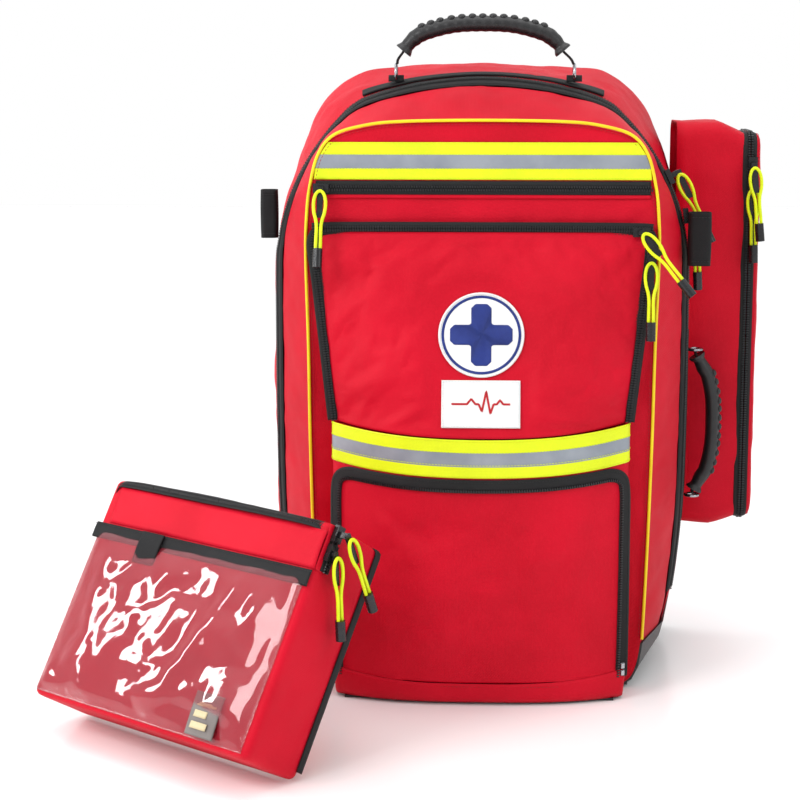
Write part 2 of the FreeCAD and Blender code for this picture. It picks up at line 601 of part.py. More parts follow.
zt = cuboid(-PW + 14.5, PW, -PD + 9.6, -PD + 15.6, PL - W, PL + 0.4).fuse(cuboid(PW - W, PW + 0.4, -PD + 9.6, -PD + 15.6, PL - SL + 0.6, PL + 0.4))
feature("pouch_zip", zt.removeSplitter(), PPL)
feature("window_film", cuboid(-PW + 4, PW - 4, -PD - 0.3 - D["film_t"], -PD - 0.3, 4, PL - SL - 8), PPL)
feature("window_band", cuboid(-PW, PW, -PD - 2.6, -PD - 1.3, PL - SL - 15, PL - SL - 1).fuse(
    cuboid(-72, -44, -PD - 5.0, -PD - 2.6, PL - SL - 32, PL - SL - 1)).removeSplitter(), PPL)
feature("pouch_label", cuboid(PW - 70, PW - 70 + D["label_w"], -PD - 2.3, -PD - 1.3, 6, 6 + D["label_l"]), PPL)
zb = [(-PW + 6, 12), (-PW + 16, 12), (-PW + 16, PL - 22), (-PW + 22, PL - 16), (PW - 22, PL - 16), (PW - 16, PL - 22), (PW - 16, 12), (PW - 6, 12), (PW - 6, PL - 16), (PW - 14, PL - 6), (-PW + 14, PL - 6), (-PW + 6, PL - 16)]
feature("pouch_back_zip", prism_y(zb, 0.3, 2.3), PPL)

# -------------------------------------------------- zip sliders and their pulls
SLL, SLW, SLT = D["slide_l"], D["slide_w"], D["slide_t"]
CD, TW, TL, CAPD, CAPL = D["cord_d"], D["tab_w"], D["tab_l"], D["cap_d"], D["cap_l"]
# cord route in the pull's own plane: a = along the hang, b = across it
LOOP = [(54, 2.2), (44, 2.2), (35, 1.95), (27, 2.6), (19, 5.2), (10, 5.9), (2.5, 4.6), (-1.6, 1.6),
        (-1.6, -1.6), (2.5, -4.6), (10, -5.9), (19, -5.2), (27, -2.6), (35, -1.95), (44, -2.2), (54, -2.2)]


def oriented_box(c, ex, ey, ez, lx, ly, lz):
    """A block centred at c along the unit directions ex, ey, ez."""
    p = c - ex * (lx / 2) - ey * (ly / 2)
    f = Part.Face(Part.makePolygon([p, p + ex * lx, p + ex * lx + ey * ly, p + ey * ly, p]))
    return f.extrude(ez * lz)


def slider(name, pos, along, normal, hang, facing, attach, gap=0.6, plc=None, post_w=4.0):
    """A zip slider on a surface with outward normal, its tab, its cord loop and its moulded cap.
    pos: point on the tape; attach: height of the tab over the tape; facing: normal of the pull's plane."""
    P = V(*pos); u = V(*along).normalize(); n = V(*normal).normalize()
    w = V(*hang).normalize(); m = V(*facing).normalize()
    m = (m - w * m.dot(w)).normalize()
    s = w.cross(m).normalize()
    v = n.cross(u).normalize()
    body = oriented_box(P + n * gap, u, v, n, SLL, SLW, SLT)
    Q = P + n * (gap + attach)
    post = oriented_box(P + n * (gap + SLT - 0.4), u, v, n, 5.0, post_w, attach - SLT + 1.4)
    tab = oriented_box(Q + w * (TL / 2 + 1.0) - m * 1.0, w, s, m, TL + 6, TW, 2.0)
    metal = body.fuse(post).fuse(tab).removeSplitter()
    off = m * (1.0 + 0.35 + CD / 2)
    o = Q + off + w * 4.5
    # the eye hangs round the tab, in front of it
    pts = [o + w * a + s * b for a, b in LOOP]
    solid, wire, radii = pipe([(p.x, p.y, p.z) for p in pts], CD / 2)
    cap = Part.makeCylinder(CAPD / 2, CAPL, o + w * 54, w)
    area = math.pi * CD * CD / 4
    print("%-22s cord length %.1f mm, volume ratio %.4f, radii %s" % (
        name, wire.Length, solid.Volume / (area * wire.Length), " ".join("%.1f" % r for r in radii)))
    feature(name, Part.makeCompound([metal, cap]), plc)
    feature(name + "_cord", solid, plc)
    return [o + w * a + s * b for a, b in LOOP]


def on_arc(deg, r):
    a = math.radians(deg)
    return (D["arc_x"] + r * math.cos(a), ZY, D["arc_z"] + r * math.sin(a))


def radial(deg):
    a = math.radians(deg)
    return (math.cos(a), 0, math.sin(a)), (-math.sin(a), 0, math.cos(a))


ROUTES = {}
n, u = radial(27)
ROUTES["main_slider_upper"] = slider("main_slider_upper", on_arc(27, D["arc_r"] + 0.8), u, n, (0.44, -0.07, -0.9), (0, -1, 0), 12.0, gap=0.9, post_w=1.8)
n, u = radial(16)
ROUTES["main_slider_lower"] = slider("main_slider_lower", on_arc(16, D["arc_r"] + 0.8), (-0.1395, 0, 0.990), (0.990, 0, 0.1395), (0.06, 0.10, -0.99), (0, 1, 0), 12.5, gap=2.7, post_w=1.8)
ROUTES["top_slider"] = slider("top_slider", (-153, FY - 2.3, 490.5), (1, 0, 0), (0, -1, 0), (-0.02, -0.29, -0.957), (0, -1, 0), 7.5)
nf = (0, -194.0, 56.0 * -1)
nf = V(0, -194.0, 56.0).normalize()          # outward normal of the leaning pocket front
down = V(0, -56.0, -194.0).normalize()
leg = V(142 - 162.5, edge_y(266) - edge_y(440), 266 - 440).normalize()
ne = V(0, -194.0, 12.0).normalize()           # outward normal along the pocket's zip
ROUTES["mid_slider_top"] = slider("mid_slider_top", (150, edge_y(450) + 0.2, 450), (1, 0, 0), ne, V(0.61, 0, 0) + down * 0.79, nf, 13.5)
ROUTES["mid_slider_side"] = slider("mid_slider_side", (159.6, edge_y(424) + 0.2, 424), leg, ne, (0, -0.12, -0.99), (0, -1, 0), 7.5)
ROUTES["side_slider_upper"] = slider("side_slider_upper", (sx + 4.3, sy0 - 0.6, 506), (0, 0, 1), (0, -1, 0), (0.10, 0, -0.99), (0, -1, 0), 13.5)
ROUTES["side_slider_lower"] = slider("side_slider_lower", (sx + 4.3, sy0 - 0.6, 484), (0, 0, 1), (0, -1, 0), (0.03, 0, -1), (0, -1, 0), 7.5)
ROUTES["pouch_slider_top"] = slider("pouch_slider_top", (PW + 0.4, -PD + 9.3, PL - 8), (0, 0, 1), (1, 0, 0), (0, 0.80, -0.60), (1, 0, 0), 14.0, plc=PPL)
ROUTES["pouch_slider_side"] = slider("pouch_slider_side", (PW + 0.4, -PD + 9.3, PL - 25.5), (0, 0, 1), (1, 0, 0), (0, 0.55, -0.83), (1, 0, 0), 7.5, plc=PPL)

# ---------------------------------------------------------------- write out
doc.recompute()
bad = []
for o in doc.Objects:
    st_ = [x for x in o.State if x in ("Invalid", "Error")]
    if st_:
        bad.append("%s %s" % (o.Label, st_))
seen = set()
for o in NODES:
    if o.Shape.isNull() or not o.Shape.isValid() or o.Shape.Volume <= 0:
        bad.append("%s shape" % o.Label)
    if o.Label in seen:
        bad.append("%s twice" % o.Label)
    seen.add(o.Label)
if bad:
    raise SystemExit("not written: " + "; ".join(bad))
os.makedirs("parts", exist_ok=True)
for o in NODES:
    o.Shape.exportStep("parts/%s.step" % o.Label)
    b = o.Shape.optimalBoundingBox(True, False)
    print("%-24s solids %d vol %9.1f cm3*1000  x %7.1f %7.1f  y %7.1f %7.1f  z %6.1f %6.1f" % (
        o.Label, len(o.Shape.Solids), o.Shape.Volume / 1.0, b.XMin, b.XMax, b.YMin, b.YMax, b.ZMin, b.ZMax))
for k, r in ROUTES.items():
    print("ROUTE", k, [tuple(round(c, 2) for c in (p.x, p.y, p.z)) for p in r])
print(len(NODES), "nodes")
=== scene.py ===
import math
import bpy
import numpy as np
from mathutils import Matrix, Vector, noise


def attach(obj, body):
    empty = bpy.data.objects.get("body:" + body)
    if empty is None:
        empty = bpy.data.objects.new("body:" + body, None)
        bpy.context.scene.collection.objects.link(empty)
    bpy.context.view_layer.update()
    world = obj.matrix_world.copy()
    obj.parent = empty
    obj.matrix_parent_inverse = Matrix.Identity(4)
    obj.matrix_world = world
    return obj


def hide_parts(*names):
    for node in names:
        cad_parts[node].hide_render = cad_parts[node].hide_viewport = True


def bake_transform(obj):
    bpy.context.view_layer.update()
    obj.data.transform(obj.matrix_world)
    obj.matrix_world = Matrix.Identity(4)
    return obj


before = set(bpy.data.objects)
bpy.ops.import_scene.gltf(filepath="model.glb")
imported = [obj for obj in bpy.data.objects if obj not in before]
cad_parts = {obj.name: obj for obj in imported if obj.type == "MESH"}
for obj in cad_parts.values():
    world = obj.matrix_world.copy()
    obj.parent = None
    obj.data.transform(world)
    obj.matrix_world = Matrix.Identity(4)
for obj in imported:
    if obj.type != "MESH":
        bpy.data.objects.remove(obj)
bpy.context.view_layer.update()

MM = 0.001

# ------------------------------------------------------------------ camera
cam_data = bpy.data.cameras.new("camera")
cam_data.sensor_width = 36.0
cam_data.lens = 90.36
cam = bpy.data.objects.new("camera", cam_data)
bpy.context.scene.collection.objects.link(cam)
cam.location = (0.0, -2.010, 0.620)
cam.rotation_euler = (math.radians(90 - 9.9), 0.0, math.radians(2.34))
bpy.context.scene.camera = cam
bpy.context.scene.view_settings.view_transform = "Standard"

# Lines of the nine pull cords, in metres.
ROUTES = {
    "main_slider_upper": [(0.21588, -0.02702, 0.44835), (0.21150, -0.02632, 0.45731), (0.20778, -0.02570, 0.46549), (0.20369, -0.02514, 0.47237), (0.19785, -0.02458, 0.47840), (0.19328, -0.02395, 0.48616), (0.19116, -0.02343, 0.49345), (0.19206, -0.02314, 0.49844), (0.19494, -0.02314, 0.49985), (0.19943, -0.02343, 0.49749), (0.20388, -0.02395, 0.49134), (0.20720, -0.02458, 0.48297), (0.20837, -0.02514, 0.47465), (0.21129, -0.02570, 0.46720), (0.21545, -0.02632, 0.45924), (0.21984, -0.02702, 0.45028)],
    "main_slider_lower": [(0.21638, -0.01120, 0.40256), (0.21578, -0.01220, 0.41249), (0.21499, -0.01310, 0.42141), (0.21516, -0.01390, 0.42939), (0.21727, -0.01471, 0.43750), (0.21743, -0.01561, 0.44648), (0.21568, -0.01636, 0.45385), (0.21244, -0.01677, 0.45774), (0.20924, -0.01677, 0.45754), (0.20650, -0.01636, 0.45329), (0.20565, -0.01561, 0.44576), (0.20689, -0.01471, 0.43687), (0.20997, -0.01390, 0.42908), (0.21110, -0.01310, 0.42117), (0.21139, -0.01220, 0.41222), (0.21199, -0.01120, 0.40229)],
    "top_slider": [(-0.15635, -0.13019, 0.43543), (-0.15615, -0.12729, 0.44499), (-0.15572, -0.12468, 0.45360), (-0.15621, -0.12236, 0.46127), (-0.15865, -0.12004, 0.46898), (-0.15917, -0.11743, 0.47760), (-0.15772, -0.11525, 0.48475), (-0.15464, -0.11406, 0.48861), (-0.15144, -0.11406, 0.48855), (-0.14852, -0.11525, 0.48456), (-0.14737, -0.11743, 0.47736), (-0.14825, -0.12004, 0.46876), (-0.15101, -0.12236, 0.46116), (-0.15182, -0.12468, 0.45352), (-0.15175, -0.12729, 0.44490), (-0.15195, -0.13019, 0.43533)],
    "mid_slider_top": [(0.18401, -0.13629, 0.40591), (0.17790, -0.13410, 0.41351), (0.17260, -0.13208, 0.42051), (0.16719, -0.13043, 0.42621), (0.16025, -0.12912, 0.43076), (0.15419, -0.12726, 0.43720), (0.15064, -0.12539, 0.44366), (0.15051, -0.12399, 0.44854), (0.15304, -0.12344, 0.45042), (0.15792, -0.12384, 0.44907), (0.16353, -0.12526, 0.44413), (0.16848, -0.12736, 0.43687), (0.17131, -0.12955, 0.42926), (0.17568, -0.13142, 0.42280), (0.18138, -0.13335, 0.41610), (0.18749, -0.13555, 0.40849)],
    "mid_slider_side": [(0.15740, -0.12583, 0.36678), (0.15740, -0.12463, 0.37671), (0.15765, -0.12355, 0.38564), (0.15700, -0.12258, 0.39358), (0.15440, -0.12162, 0.40153), (0.15370, -0.12054, 0.41046), (0.15500, -0.11963, 0.41791), (0.15800, -0.11914, 0.42198), (0.16120, -0.11914, 0.42198), (0.16420, -0.11963, 0.41791), (0.16550, -0.12054, 0.41046), (0.16480, -0.12162, 0.40153), (0.16220, -0.12258, 0.39358), (0.16155, -0.12355, 0.38564), (0.16180, -0.12463, 0.37671), (0.16180, -0.12583, 0.36678)],
    "side_slider_upper": [(0.27599, 0.02235, 0.44758), (0.27499, 0.02235, 0.45752), (0.27433, 0.02235, 0.46650), (0.27288, 0.02235, 0.47440), (0.26949, 0.02235, 0.48210), (0.26789, 0.02235, 0.49098), (0.26843, 0.02235, 0.49857), (0.27100, 0.02235, 0.50295), (0.27418, 0.02235, 0.50328), (0.27758, 0.02235, 0.49950), (0.27963, 0.02235, 0.49217), (0.27984, 0.02235, 0.48314), (0.27805, 0.02235, 0.47492), (0.27821, 0.02235, 0.46690), (0.27936, 0.02235, 0.45797), (0.28037, 0.02235, 0.44802)],
    "side_slider_lower": [(0.27186, 0.02835, 0.42546), (0.27156, 0.02835, 0.43546), (0.27154, 0.02835, 0.44446), (0.27065, 0.02835, 0.45244), (0.26781, 0.02835, 0.46035), (0.26684, 0.02835, 0.46933), (0.26791, 0.02835, 0.47687), (0.27079, 0.02835, 0.48105), (0.27399, 0.02835, 0.48115), (0.27711, 0.02835, 0.47714), (0.27863, 0.02835, 0.46968), (0.27820, 0.02835, 0.46067), (0.27584, 0.02835, 0.45259), (0.27543, 0.02835, 0.44458), (0.27595, 0.02835, 0.43559), (0.27625, 0.02835, 0.42559)],
    "pouch_slider_top": [(-0.09791, -0.32951, 0.15488), (-0.10025, -0.33246, 0.16414), (-0.10221, -0.33494, 0.17257), (-0.10445, -0.33777, 0.17974), (-0.10782, -0.34202, 0.18617), (-0.11033, -0.34518, 0.19425), (-0.11134, -0.34646, 0.20168), (-0.11057, -0.34549, 0.20661), (-0.10873, -0.34316, 0.20782), (-0.10604, -0.33978, 0.20515), (-0.10354, -0.33662, 0.19869), (-0.10184, -0.33447, 0.19009), (-0.10146, -0.33400, 0.18170), (-0.09996, -0.33211, 0.17404), (-0.09771, -0.32927, 0.16580), (-0.09537, -0.32631, 0.15654)],
    "pouch_slider_side": [(-0.12078, -0.34791, 0.13636), (-0.12105, -0.34825, 0.14635), (-0.12115, -0.34837, 0.15536), (-0.12177, -0.34915, 0.16332), (-0.12360, -0.35146, 0.17119), (-0.12429, -0.35233, 0.18015), (-0.12369, -0.35157, 0.18770), (-0.12193, -0.34936, 0.19193), (-0.11995, -0.34685, 0.19207), (-0.11797, -0.34436, 0.18811), (-0.11696, -0.34309, 0.18067), (-0.11715, -0.34332, 0.17165), (-0.11854, -0.34508, 0.16354), (-0.11873, -0.34532, 0.15553), (-0.11833, -0.34481, 0.14655), (-0.11805, -0.34446, 0.13655)],
}

# ------------------------------------------------- materials, all procedural
MATS = {}


def base_mat(name):
    m = bpy.data.materials.new(name)
    m.use_nodes = True
    nt = m.node_tree
    nt.nodes.clear()
    out = nt.nodes.new("ShaderNodeOutputMaterial")
    b = nt.nodes.new("ShaderNodeBsdfPrincipled")
    nt.links.new(b.outputs[0], out.inputs[0])
    MATS[name] = m
    return m, nt, b


def node(nt, kind, **inputs):
    n = nt.nodes.new(kind)
    for k, v in inputs.items():
        n.inputs[k.replace("_", " ")].default_value = v
    return n


def math_node(nt, op, a, b=None, c=None):
    n = nt.nodes.new("ShaderNodeMath")
    n.operation = op
    for i, v in enumerate((a, b, c)):
        if v is None:
            continue
        if isinstance(v, (int, float)):
            n.inputs[i].default_value = v
        else:
            nt.links.new(v, n.inputs[i])
    return n.outputs[0]


def mix_col(nt, fac, a, b):
    n = nt.nodes.new("ShaderNodeMix")
    n.data_type = "RGBA"
    if isinstance(fac, (int, float)):
        n.inputs[0].default_value = fac
    else:
        nt.links.new(fac, n.inputs[0])
    for i, v in ((6, a), (7, b)):
        if isinstance(v, (tuple, list)):
            n.inputs[i].default_value = (*v, 1.0) if len(v) == 3 else v
        else:
            nt.links.new(v, n.inputs[i])
    return n.outputs[2]


def remap(nt, v, a, b, c, d):
    n = nt.nodes.new("ShaderNodeMapRange")
    nt.links.new(v, n.inputs[0])
    for i, x in zip((1, 2, 3, 4), (a, b, c, d)):
        n.inputs[i].default_value = x
    return n.outputs[0]


def lin(r, g, b):
    return tuple(((x / 255 + 0.055) / 1.055) ** 2.4 if x > 10 else x / 255 / 12.92 for x in (r, g, b))


def weave(nt, coord, pitch):
    """Plain weave height 0..1 from a coordinate in metres; threads every pitch."""
    sep = nt.nodes.new("ShaderNodeSeparateXYZ")
    nt.links.new(coord, sep.inputs[0])
    u = math_node(nt, "MULTIPLY", sep.outputs[0], 1.0 / pitch)
    v = math_node(nt, "MULTIPLY", sep.outputs[1], 1.0 / pitch)
    su = math_node(nt, "ABSOLUTE", math_node(nt, "SINE", math_node(nt, "MULTIPLY", u, math.pi)))
    sv = math_node(nt, "ABSOLUTE", math_node(nt, "SINE", math_node(nt, "MULTIPLY", v, math.pi)))
    par = math_node(nt, "ADD", math_node(nt, "FLOOR", u), math_node(nt, "FLOOR", v))
    odd = math_node(nt, "ABSOLUTE", math_node(nt, "MODULO", par, 2.0))
    a = math_node(nt, "MULTIPLY", odd, su)
    b = math_node(nt, "MULTIPLY", math_node(nt, "SUBTRACT", 1.0, odd), sv)
    return math_node(nt, "ADD", a, b)


def fabric(name, col, col2, rough=0.62, pitch=0.0011, bump=0.35, var=9.0, spec=0.4, sheen=0.0, coat=0.0, twill=False, uv=True):
    m, nt, b = base_mat(name)
    tc = nt.nodes.new("ShaderNodeTexCoord")
    co = tc.outputs["UV"] if uv else tc.outputs["Object"]
    if twill:
        sep = nt.nodes.new("ShaderNodeSeparateXYZ")
        nt.links.new(co, sep.inputs[0])
        s = math_node(nt, "ADD", math_node(nt, "MULTIPLY", sep.outputs[0], 1 / pitch), math_node(nt, "MULTIPLY", sep.outputs[1], 1 / pitch))
        h = math_node(nt, "ABSOLUTE", math_node(nt, "SINE", math_node(nt, "MULTIPLY", s, math.pi)))
    elif uv:
        h = weave(nt, co, pitch)
    else:
        vo = node(nt, "ShaderNodeTexVoronoi", Scale=1.0 / pitch)
        nt.links.new(co, vo.inputs["Vector"])
        h = vo.outputs["Distance"]
    n1 = node(nt, "ShaderNodeTexNoise", Scale=var, Detail=3.0, Roughness=0.55)
    nt.links.new(tc.outputs["Object"], n1.inputs["Vector"])
    n2 = node(nt, "ShaderNodeTexNoise", Scale=420.0, Detail=2.0, Roughness=0.6)
    nt.links.new(tc.outputs["Object"], n2.inputs["Vector"])
    c = mix_col(nt, remap(nt, n1.outputs["Fac"], 0.35, 0.7, 0.0, 1.0), col, col2)
    # painted shade: the colour darkens toward a shaded copy of itself in the hollows of the weave, where the bump
    # height is low
    weave_gap_shade = tuple(x * 0.62 for x in col)
    c = mix_col(nt, remap(nt, h, 0.0, 0.45, 0.30, 0.0), c, weave_gap_shade)
    c = mix_col(nt, remap(nt, n2.outputs["Fac"], 0.45, 0.8, 0.0, 0.16), c, tuple(min(1, x * 1.25 + 0.01) for x in col))
    nt.links.new(c, b.inputs["Base Color"])
    r = remap(nt, n1.outputs["Fac"], 0.3, 0.75, rough - 0.05, rough + 0.06)
    nt.links.new(r, b.inputs["Roughness"])
    hh = math_node(nt, "ADD", math_node(nt, "MULTIPLY", h, 0.8), math_node(nt, "MULTIPLY", n2.outputs["Fac"], 0.4))
    bp = node(nt, "ShaderNodeBump", Strength=bump, Distance=0.0003)
    nt.links.new(hh, bp.inputs["Height"])
    nt.links.new(bp.outputs[0], b.inputs["Normal"])
    b.inputs["Specular IOR Level"].default_value = spec
    b.inputs["Sheen Weight"].default_value = sheen
    b.inputs["Sheen Roughness"].default_value = 0.4
    b.inputs["Coat Weight"].default_value = coat
    return m


RED = fabric("red_cordura", lin(204, 1, 36), lin(184, 1, 29), rough=0.55, pitch=0.0013, bump=0.5, var=9.0, spec=0.16)
RED_IN = fabric("red_cordura_back", lin(170, 4, 28), lin(150, 3, 22), spec=0.15, rough=0.7, pitch=0.0010, bump=0.30)
BLACK = fabric("black_webbing", lin(24, 24, 26), lin(15, 15, 17), rough=0.72, pitch=0.0016, bump=0.6, twill=True, spec=0.3)
ZTAPE = fabric("zip_tape_black", lin(20, 20, 22), lin(13, 13, 14), rough=0.66, pitch=0.0012, bump=0.5, twill=True, spec=0.35)
MESH = fabric("air_mesh_black", lin(34, 34, 37), lin(22, 22, 24), rough=0.85, pitch=0.0034, bump=1.0, uv=False, spec=0.2)
VINYL = fabric("black_vinyl", lin(22, 22, 24), lin(14, 14, 16), rough=0.38, pitch=0.0016, bump=0.35, uv=False, spec=0.5)
GREYPAD = fabric("divider_laminate", lin(120, 122, 126), lin(104, 106, 110), rough=0.8, pitch=0.0014, bump=0.4, uv=False)
PATCH = fabric("patch_white", lin(236, 236, 234), lin(222, 223, 224), rough=0.75, pitch=0.0009, bump=0.5, var=20)
LIME = fabric("tape_lime", lin(226, 240, 8), lin(212, 228, 2), rough=0.45, pitch=0.0014, bump=0.4, var=20, twill=False)
CORDM = fabric("cord_neon", lin(222, 238, 12), lin(204, 224, 4), rough=0.5, pitch=0.0012, bump=0.8, var=60, uv=False)
PIPM = fabric("piping_yellow", lin(236, 214, 20), lin(228, 196, 14), rough=0.5, pitch=0.0012, bump=0.4, var=30, uv=False)
BLUE = fabric("emblem_blue", lin(26, 50, 132), lin(18, 38, 112), rough=0.55, pitch=0.0008, bump=0.9, var=30, twill=True, sheen=0.0)
THREADM = fabric("thread_red", lin(172, 4, 26), lin(150, 2, 20), rough=0.6, pitch=0.0006, bump=0.5, uv=False)
THREADB = fabric("thread_black", lin(30, 30, 32), lin(20, 20, 22), rough=0.6, pitch=0.0006, bump=0.5, uv=False)


def plain(name, col, col2, rough, metal=0.0, scale=180.0, bump=0.15, spec=0.5, coat=0.0, dist=0.0002):
    """Moulded plastic, rubber or metal: fine grain and light wear."""
    m, nt, b = base_mat(name)
    tc = nt.nodes.new("ShaderNodeTexCoord")
    n1 = node(nt, "ShaderNodeTexNoise", Scale=scale, Detail=4.0, Roughness=0.6)
    n2 = node(nt, "ShaderNodeTexNoise", Scale=26.0, Detail=3.0, Roughness=0.6)
    for n in (n1, n2):
        nt.links.new(tc.outputs["Object"], n.inputs["Vector"])
    c = mix_col(nt, remap(nt, n2.outputs["Fac"], 0.35, 0.7, 0.0, 1.0), col, col2)
    nt.links.new(c, b.inputs["Base Color"])
    nt.links.new(remap(nt, n1.outputs["Fac"], 0.3, 0.75, max(0.04, rough - 0.08), rough + 0.1), b.inputs["Roughness"])
    bp = node(nt, "ShaderNodeBump", Strength=bump, Distance=dist)
    nt.links.new(n1.outputs["Fac"], bp.inputs["Height"])
    nt.links.new(bp.outputs[0], b.inputs["Normal"])
    b.inputs["Metallic"].default_value = metal
    b.inputs["Specular IOR Level"].default_value = spec
    b.inputs["Coat Weight"].default_value = coat
    return m


RUBBER = plain("rubber_black", lin(26, 26, 28), lin(17, 17, 19), 0.46, scale=260, bump=0.3)
COIL = plain("coil_black", lin(34, 34, 37), lin(22, 22, 24), 0.32, scale=300, spec=0.6)
SLIDERM = plain("slider_black_enamel", lin(22, 22, 24), lin(40, 40, 43), 0.28, metal=0.35, scale=200, spec=0.6)
STEEL = plain("steel_ring", lin(176, 178, 182), lin(142, 144, 150), 0.22, metal=1.0, scale=220, bump=0.08)
PLASTIC = plain("board_plastic", lin(46, 47, 50), lin(38, 39, 42), 0.5, scale=120, bump=0.2)
BUCKLE = plain("buckle_black", lin(24, 24, 26), lin(18, 18, 20), 0.36, scale=240)
SILVER = plain("retroreflective_silver", lin(150, 156, 164), lin(130, 137, 147), 0.42, metal=0.25, scale=900, bump=0.35)


def film_mat():
    """Clear soft vinyl: mostly see-through, with glossy reflections and a faint haze."""
    m, nt, b = base_mat("clear_vinyl")
    tc = nt.nodes.new("ShaderNodeTexCoord")
    n1 = node(nt, "ShaderNodeTexNoise", Scale=55.0, Detail=3.0, Roughness=0.55)
    nt.links.new(tc.outputs["Object"], n1.inputs["Vector"])
    nt.links.new(mix_col(nt, n1.outputs["Fac"], (0.32, 0.02, 0.04), (0.40, 0.04, 0.06)), b.inputs["Base Color"])
    nt.links.new(remap(nt, n1.outputs["Fac"], 0.3, 0.7, 0.05, 0.10), b.inputs["Roughness"])
    bp = node(nt, "ShaderNodeBump", Strength=0.06, Distance=0.001)
    nt.links.new(n1.outputs["Fac"], bp.inputs["Height"])
    nt.links.new(bp.outputs[0], b.inputs["Normal"])
    b.inputs["Alpha"].default_value = 0.30
    b.inputs["Specular IOR Level"].default_value = 1.0
    b.inputs["Coat Weight"].default_value = 1.0
    b.inputs["Coat Roughness"].default_value = 0.04
    b.inputs["Coat IOR"].default_value = 1.7
    return m


FILM = film_mat()


def mesh_alpha_mat():
    """Open netting."""
    m, nt, b = base_mat("net_black")
    tc = nt.nodes.new("ShaderNodeTexCoord")
    vo = node(nt, "ShaderNodeTexVoronoi", Scale=380.0)
    nt.links.new(tc.outputs["UV"], vo.inputs["Vector"])
    nt.links.new(remap(nt, vo.outputs["Distance"], 0.28, 0.42, 0.15, 1.0), b.inputs["Alpha"])
    n1 = node(nt, "ShaderNodeTexNoise", Scale=30.0, Detail=3.0)
    nt.links.new(tc.outputs["Object"], n1.inputs["Vector"])
    nt.links.new(mix_col(nt, n1.outputs["Fac"], lin(30, 30, 33), lin(18, 18, 20)), b.inputs["Base Color"])
    b.inputs["Roughness"].default_value = 0.7
    return m


NET = mesh_alpha_mat()


# ------------------------------------------------------------ pull cords
def link(o):
    bpy.context.scene.collection.objects.link(o)
    return o


def pull_cord(name, body):
    c = bpy.data.curves.new(name + "_pullcord", "CURVE")
    c.dimensions = "3D"
    s = c.splines.new("NURBS")
    pts = ROUTES[name]
    s.points.add(len(pts) - 1)
    for p, q in zip(s.points, pts):
        p.co = (*q, 1.0)
    s.order_u = 3
    s.use_endpoint_u = True
    c.resolution_u = 8
    c.bevel_depth = 0.0016
    c.bevel_resolution = 4
    o = link(bpy.data.objects.new(name + "_pullcord", c))
    o.data.materials.append(CORDM)
    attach(o, body)
    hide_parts(name + "_cord")
    return o


for name in ROUTES:
    pull_cord(name, name)


# ------------------------------------------------------------ mesh helpers
def mesh_obj(name, verts, faces, mats, uv=None, smooth=True, scale=MM):
    me = bpy.data.meshes.new(name)
    me.from_pydata((np.asarray(verts, float) * scale).tolist(), [], [list(map(int, f)) for f in faces])
    o = link(bpy.data.objects.new(name, me))
    for m in mats if isinstance(mats, (list, tuple)) else [mats]:
        me.materials.append(m)
    if uv is not None:
        lay = me.uv_layers.new(name="UVMap")
        idx = np.zeros(len(me.loops), int)
        me.loops.foreach_get("vertex_index", idx)
        lay.data.foreach_set("uv", np.asarray(uv, float)[idx].astype(np.float32).ravel())
    me.polygons.foreach_set("use_smooth", [smooth] * len(me.polygons))
    me.update()
    return o


def bake(o):
    dg = bpy.context.evaluated_depsgraph_get()
    me = bpy.data.meshes.new_from_object(o.evaluated_get(dg))
    o.modifiers.clear()
    o.data = me
    return o


def thick(o, t, offset=-1.0, bevel=False):
    m = o.modifiers.new("t", "SOLIDIFY")
    m.thickness = t * MM
    m.offset = offset
    m.use_rim = True
    m.use_even_offset = False
    bake(o)
    return o


def grid(name, P, mats, t=0.0, cu=False, cv=False, inside=None, su=None, sv=None, offset=-1.0):
    """A grid surface P[nu][nv] in millimetres, uv in metres along its own lengths."""
    P = np.asarray(P, float)
    nu, nv = P.shape[:2]
    du = np.linalg.norm(np.diff(P, axis=0), axis=2).mean(1)
    dv = np.linalg.norm(np.diff(P, axis=1), axis=2).mean(0)
    U = np.concatenate([[0], np.cumsum(du)]) * MM if su is None else su
    W_ = np.concatenate([[0], np.cumsum(dv)]) * MM if sv is None else sv
    uv = np.stack(np.meshgrid(U, W_, indexing="ij"), -1).reshape(-1, 2)
    idx = np.arange(nu * nv).reshape(nu, nv)
    if cu:
        idx = np.vstack([idx, idx[:1]])
    if cv:
        idx = np.hstack([idx, idx[:, :1]])
    a, b, c, d = idx[:-1, :-1].ravel(), idx[1:, :-1].ravel(), idx[1:, 1:].ravel(), idx[:-1, 1:].ravel()
    F = np.stack([a, b, c, d], 1)
    V = P.reshape(-1, 3)
    if inside is not None:
        n = np.cross(V[F[:, 1]] - V[F[:, 0]], V[F[:, 3]] - V[F[:, 0]])
        mid = V[F].mean(1) - np.asarray(inside, float)
        if (n * mid).sum() < 0:
            F = F[:, ::-1]
    o = mesh_obj(name, V, F, mats, uv)
    if t:
        thick(o, t, offset)
    return o


def put(o, body, *nodes, slot=None):
    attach(o, body)
    if nodes:
        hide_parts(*nodes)
    return o


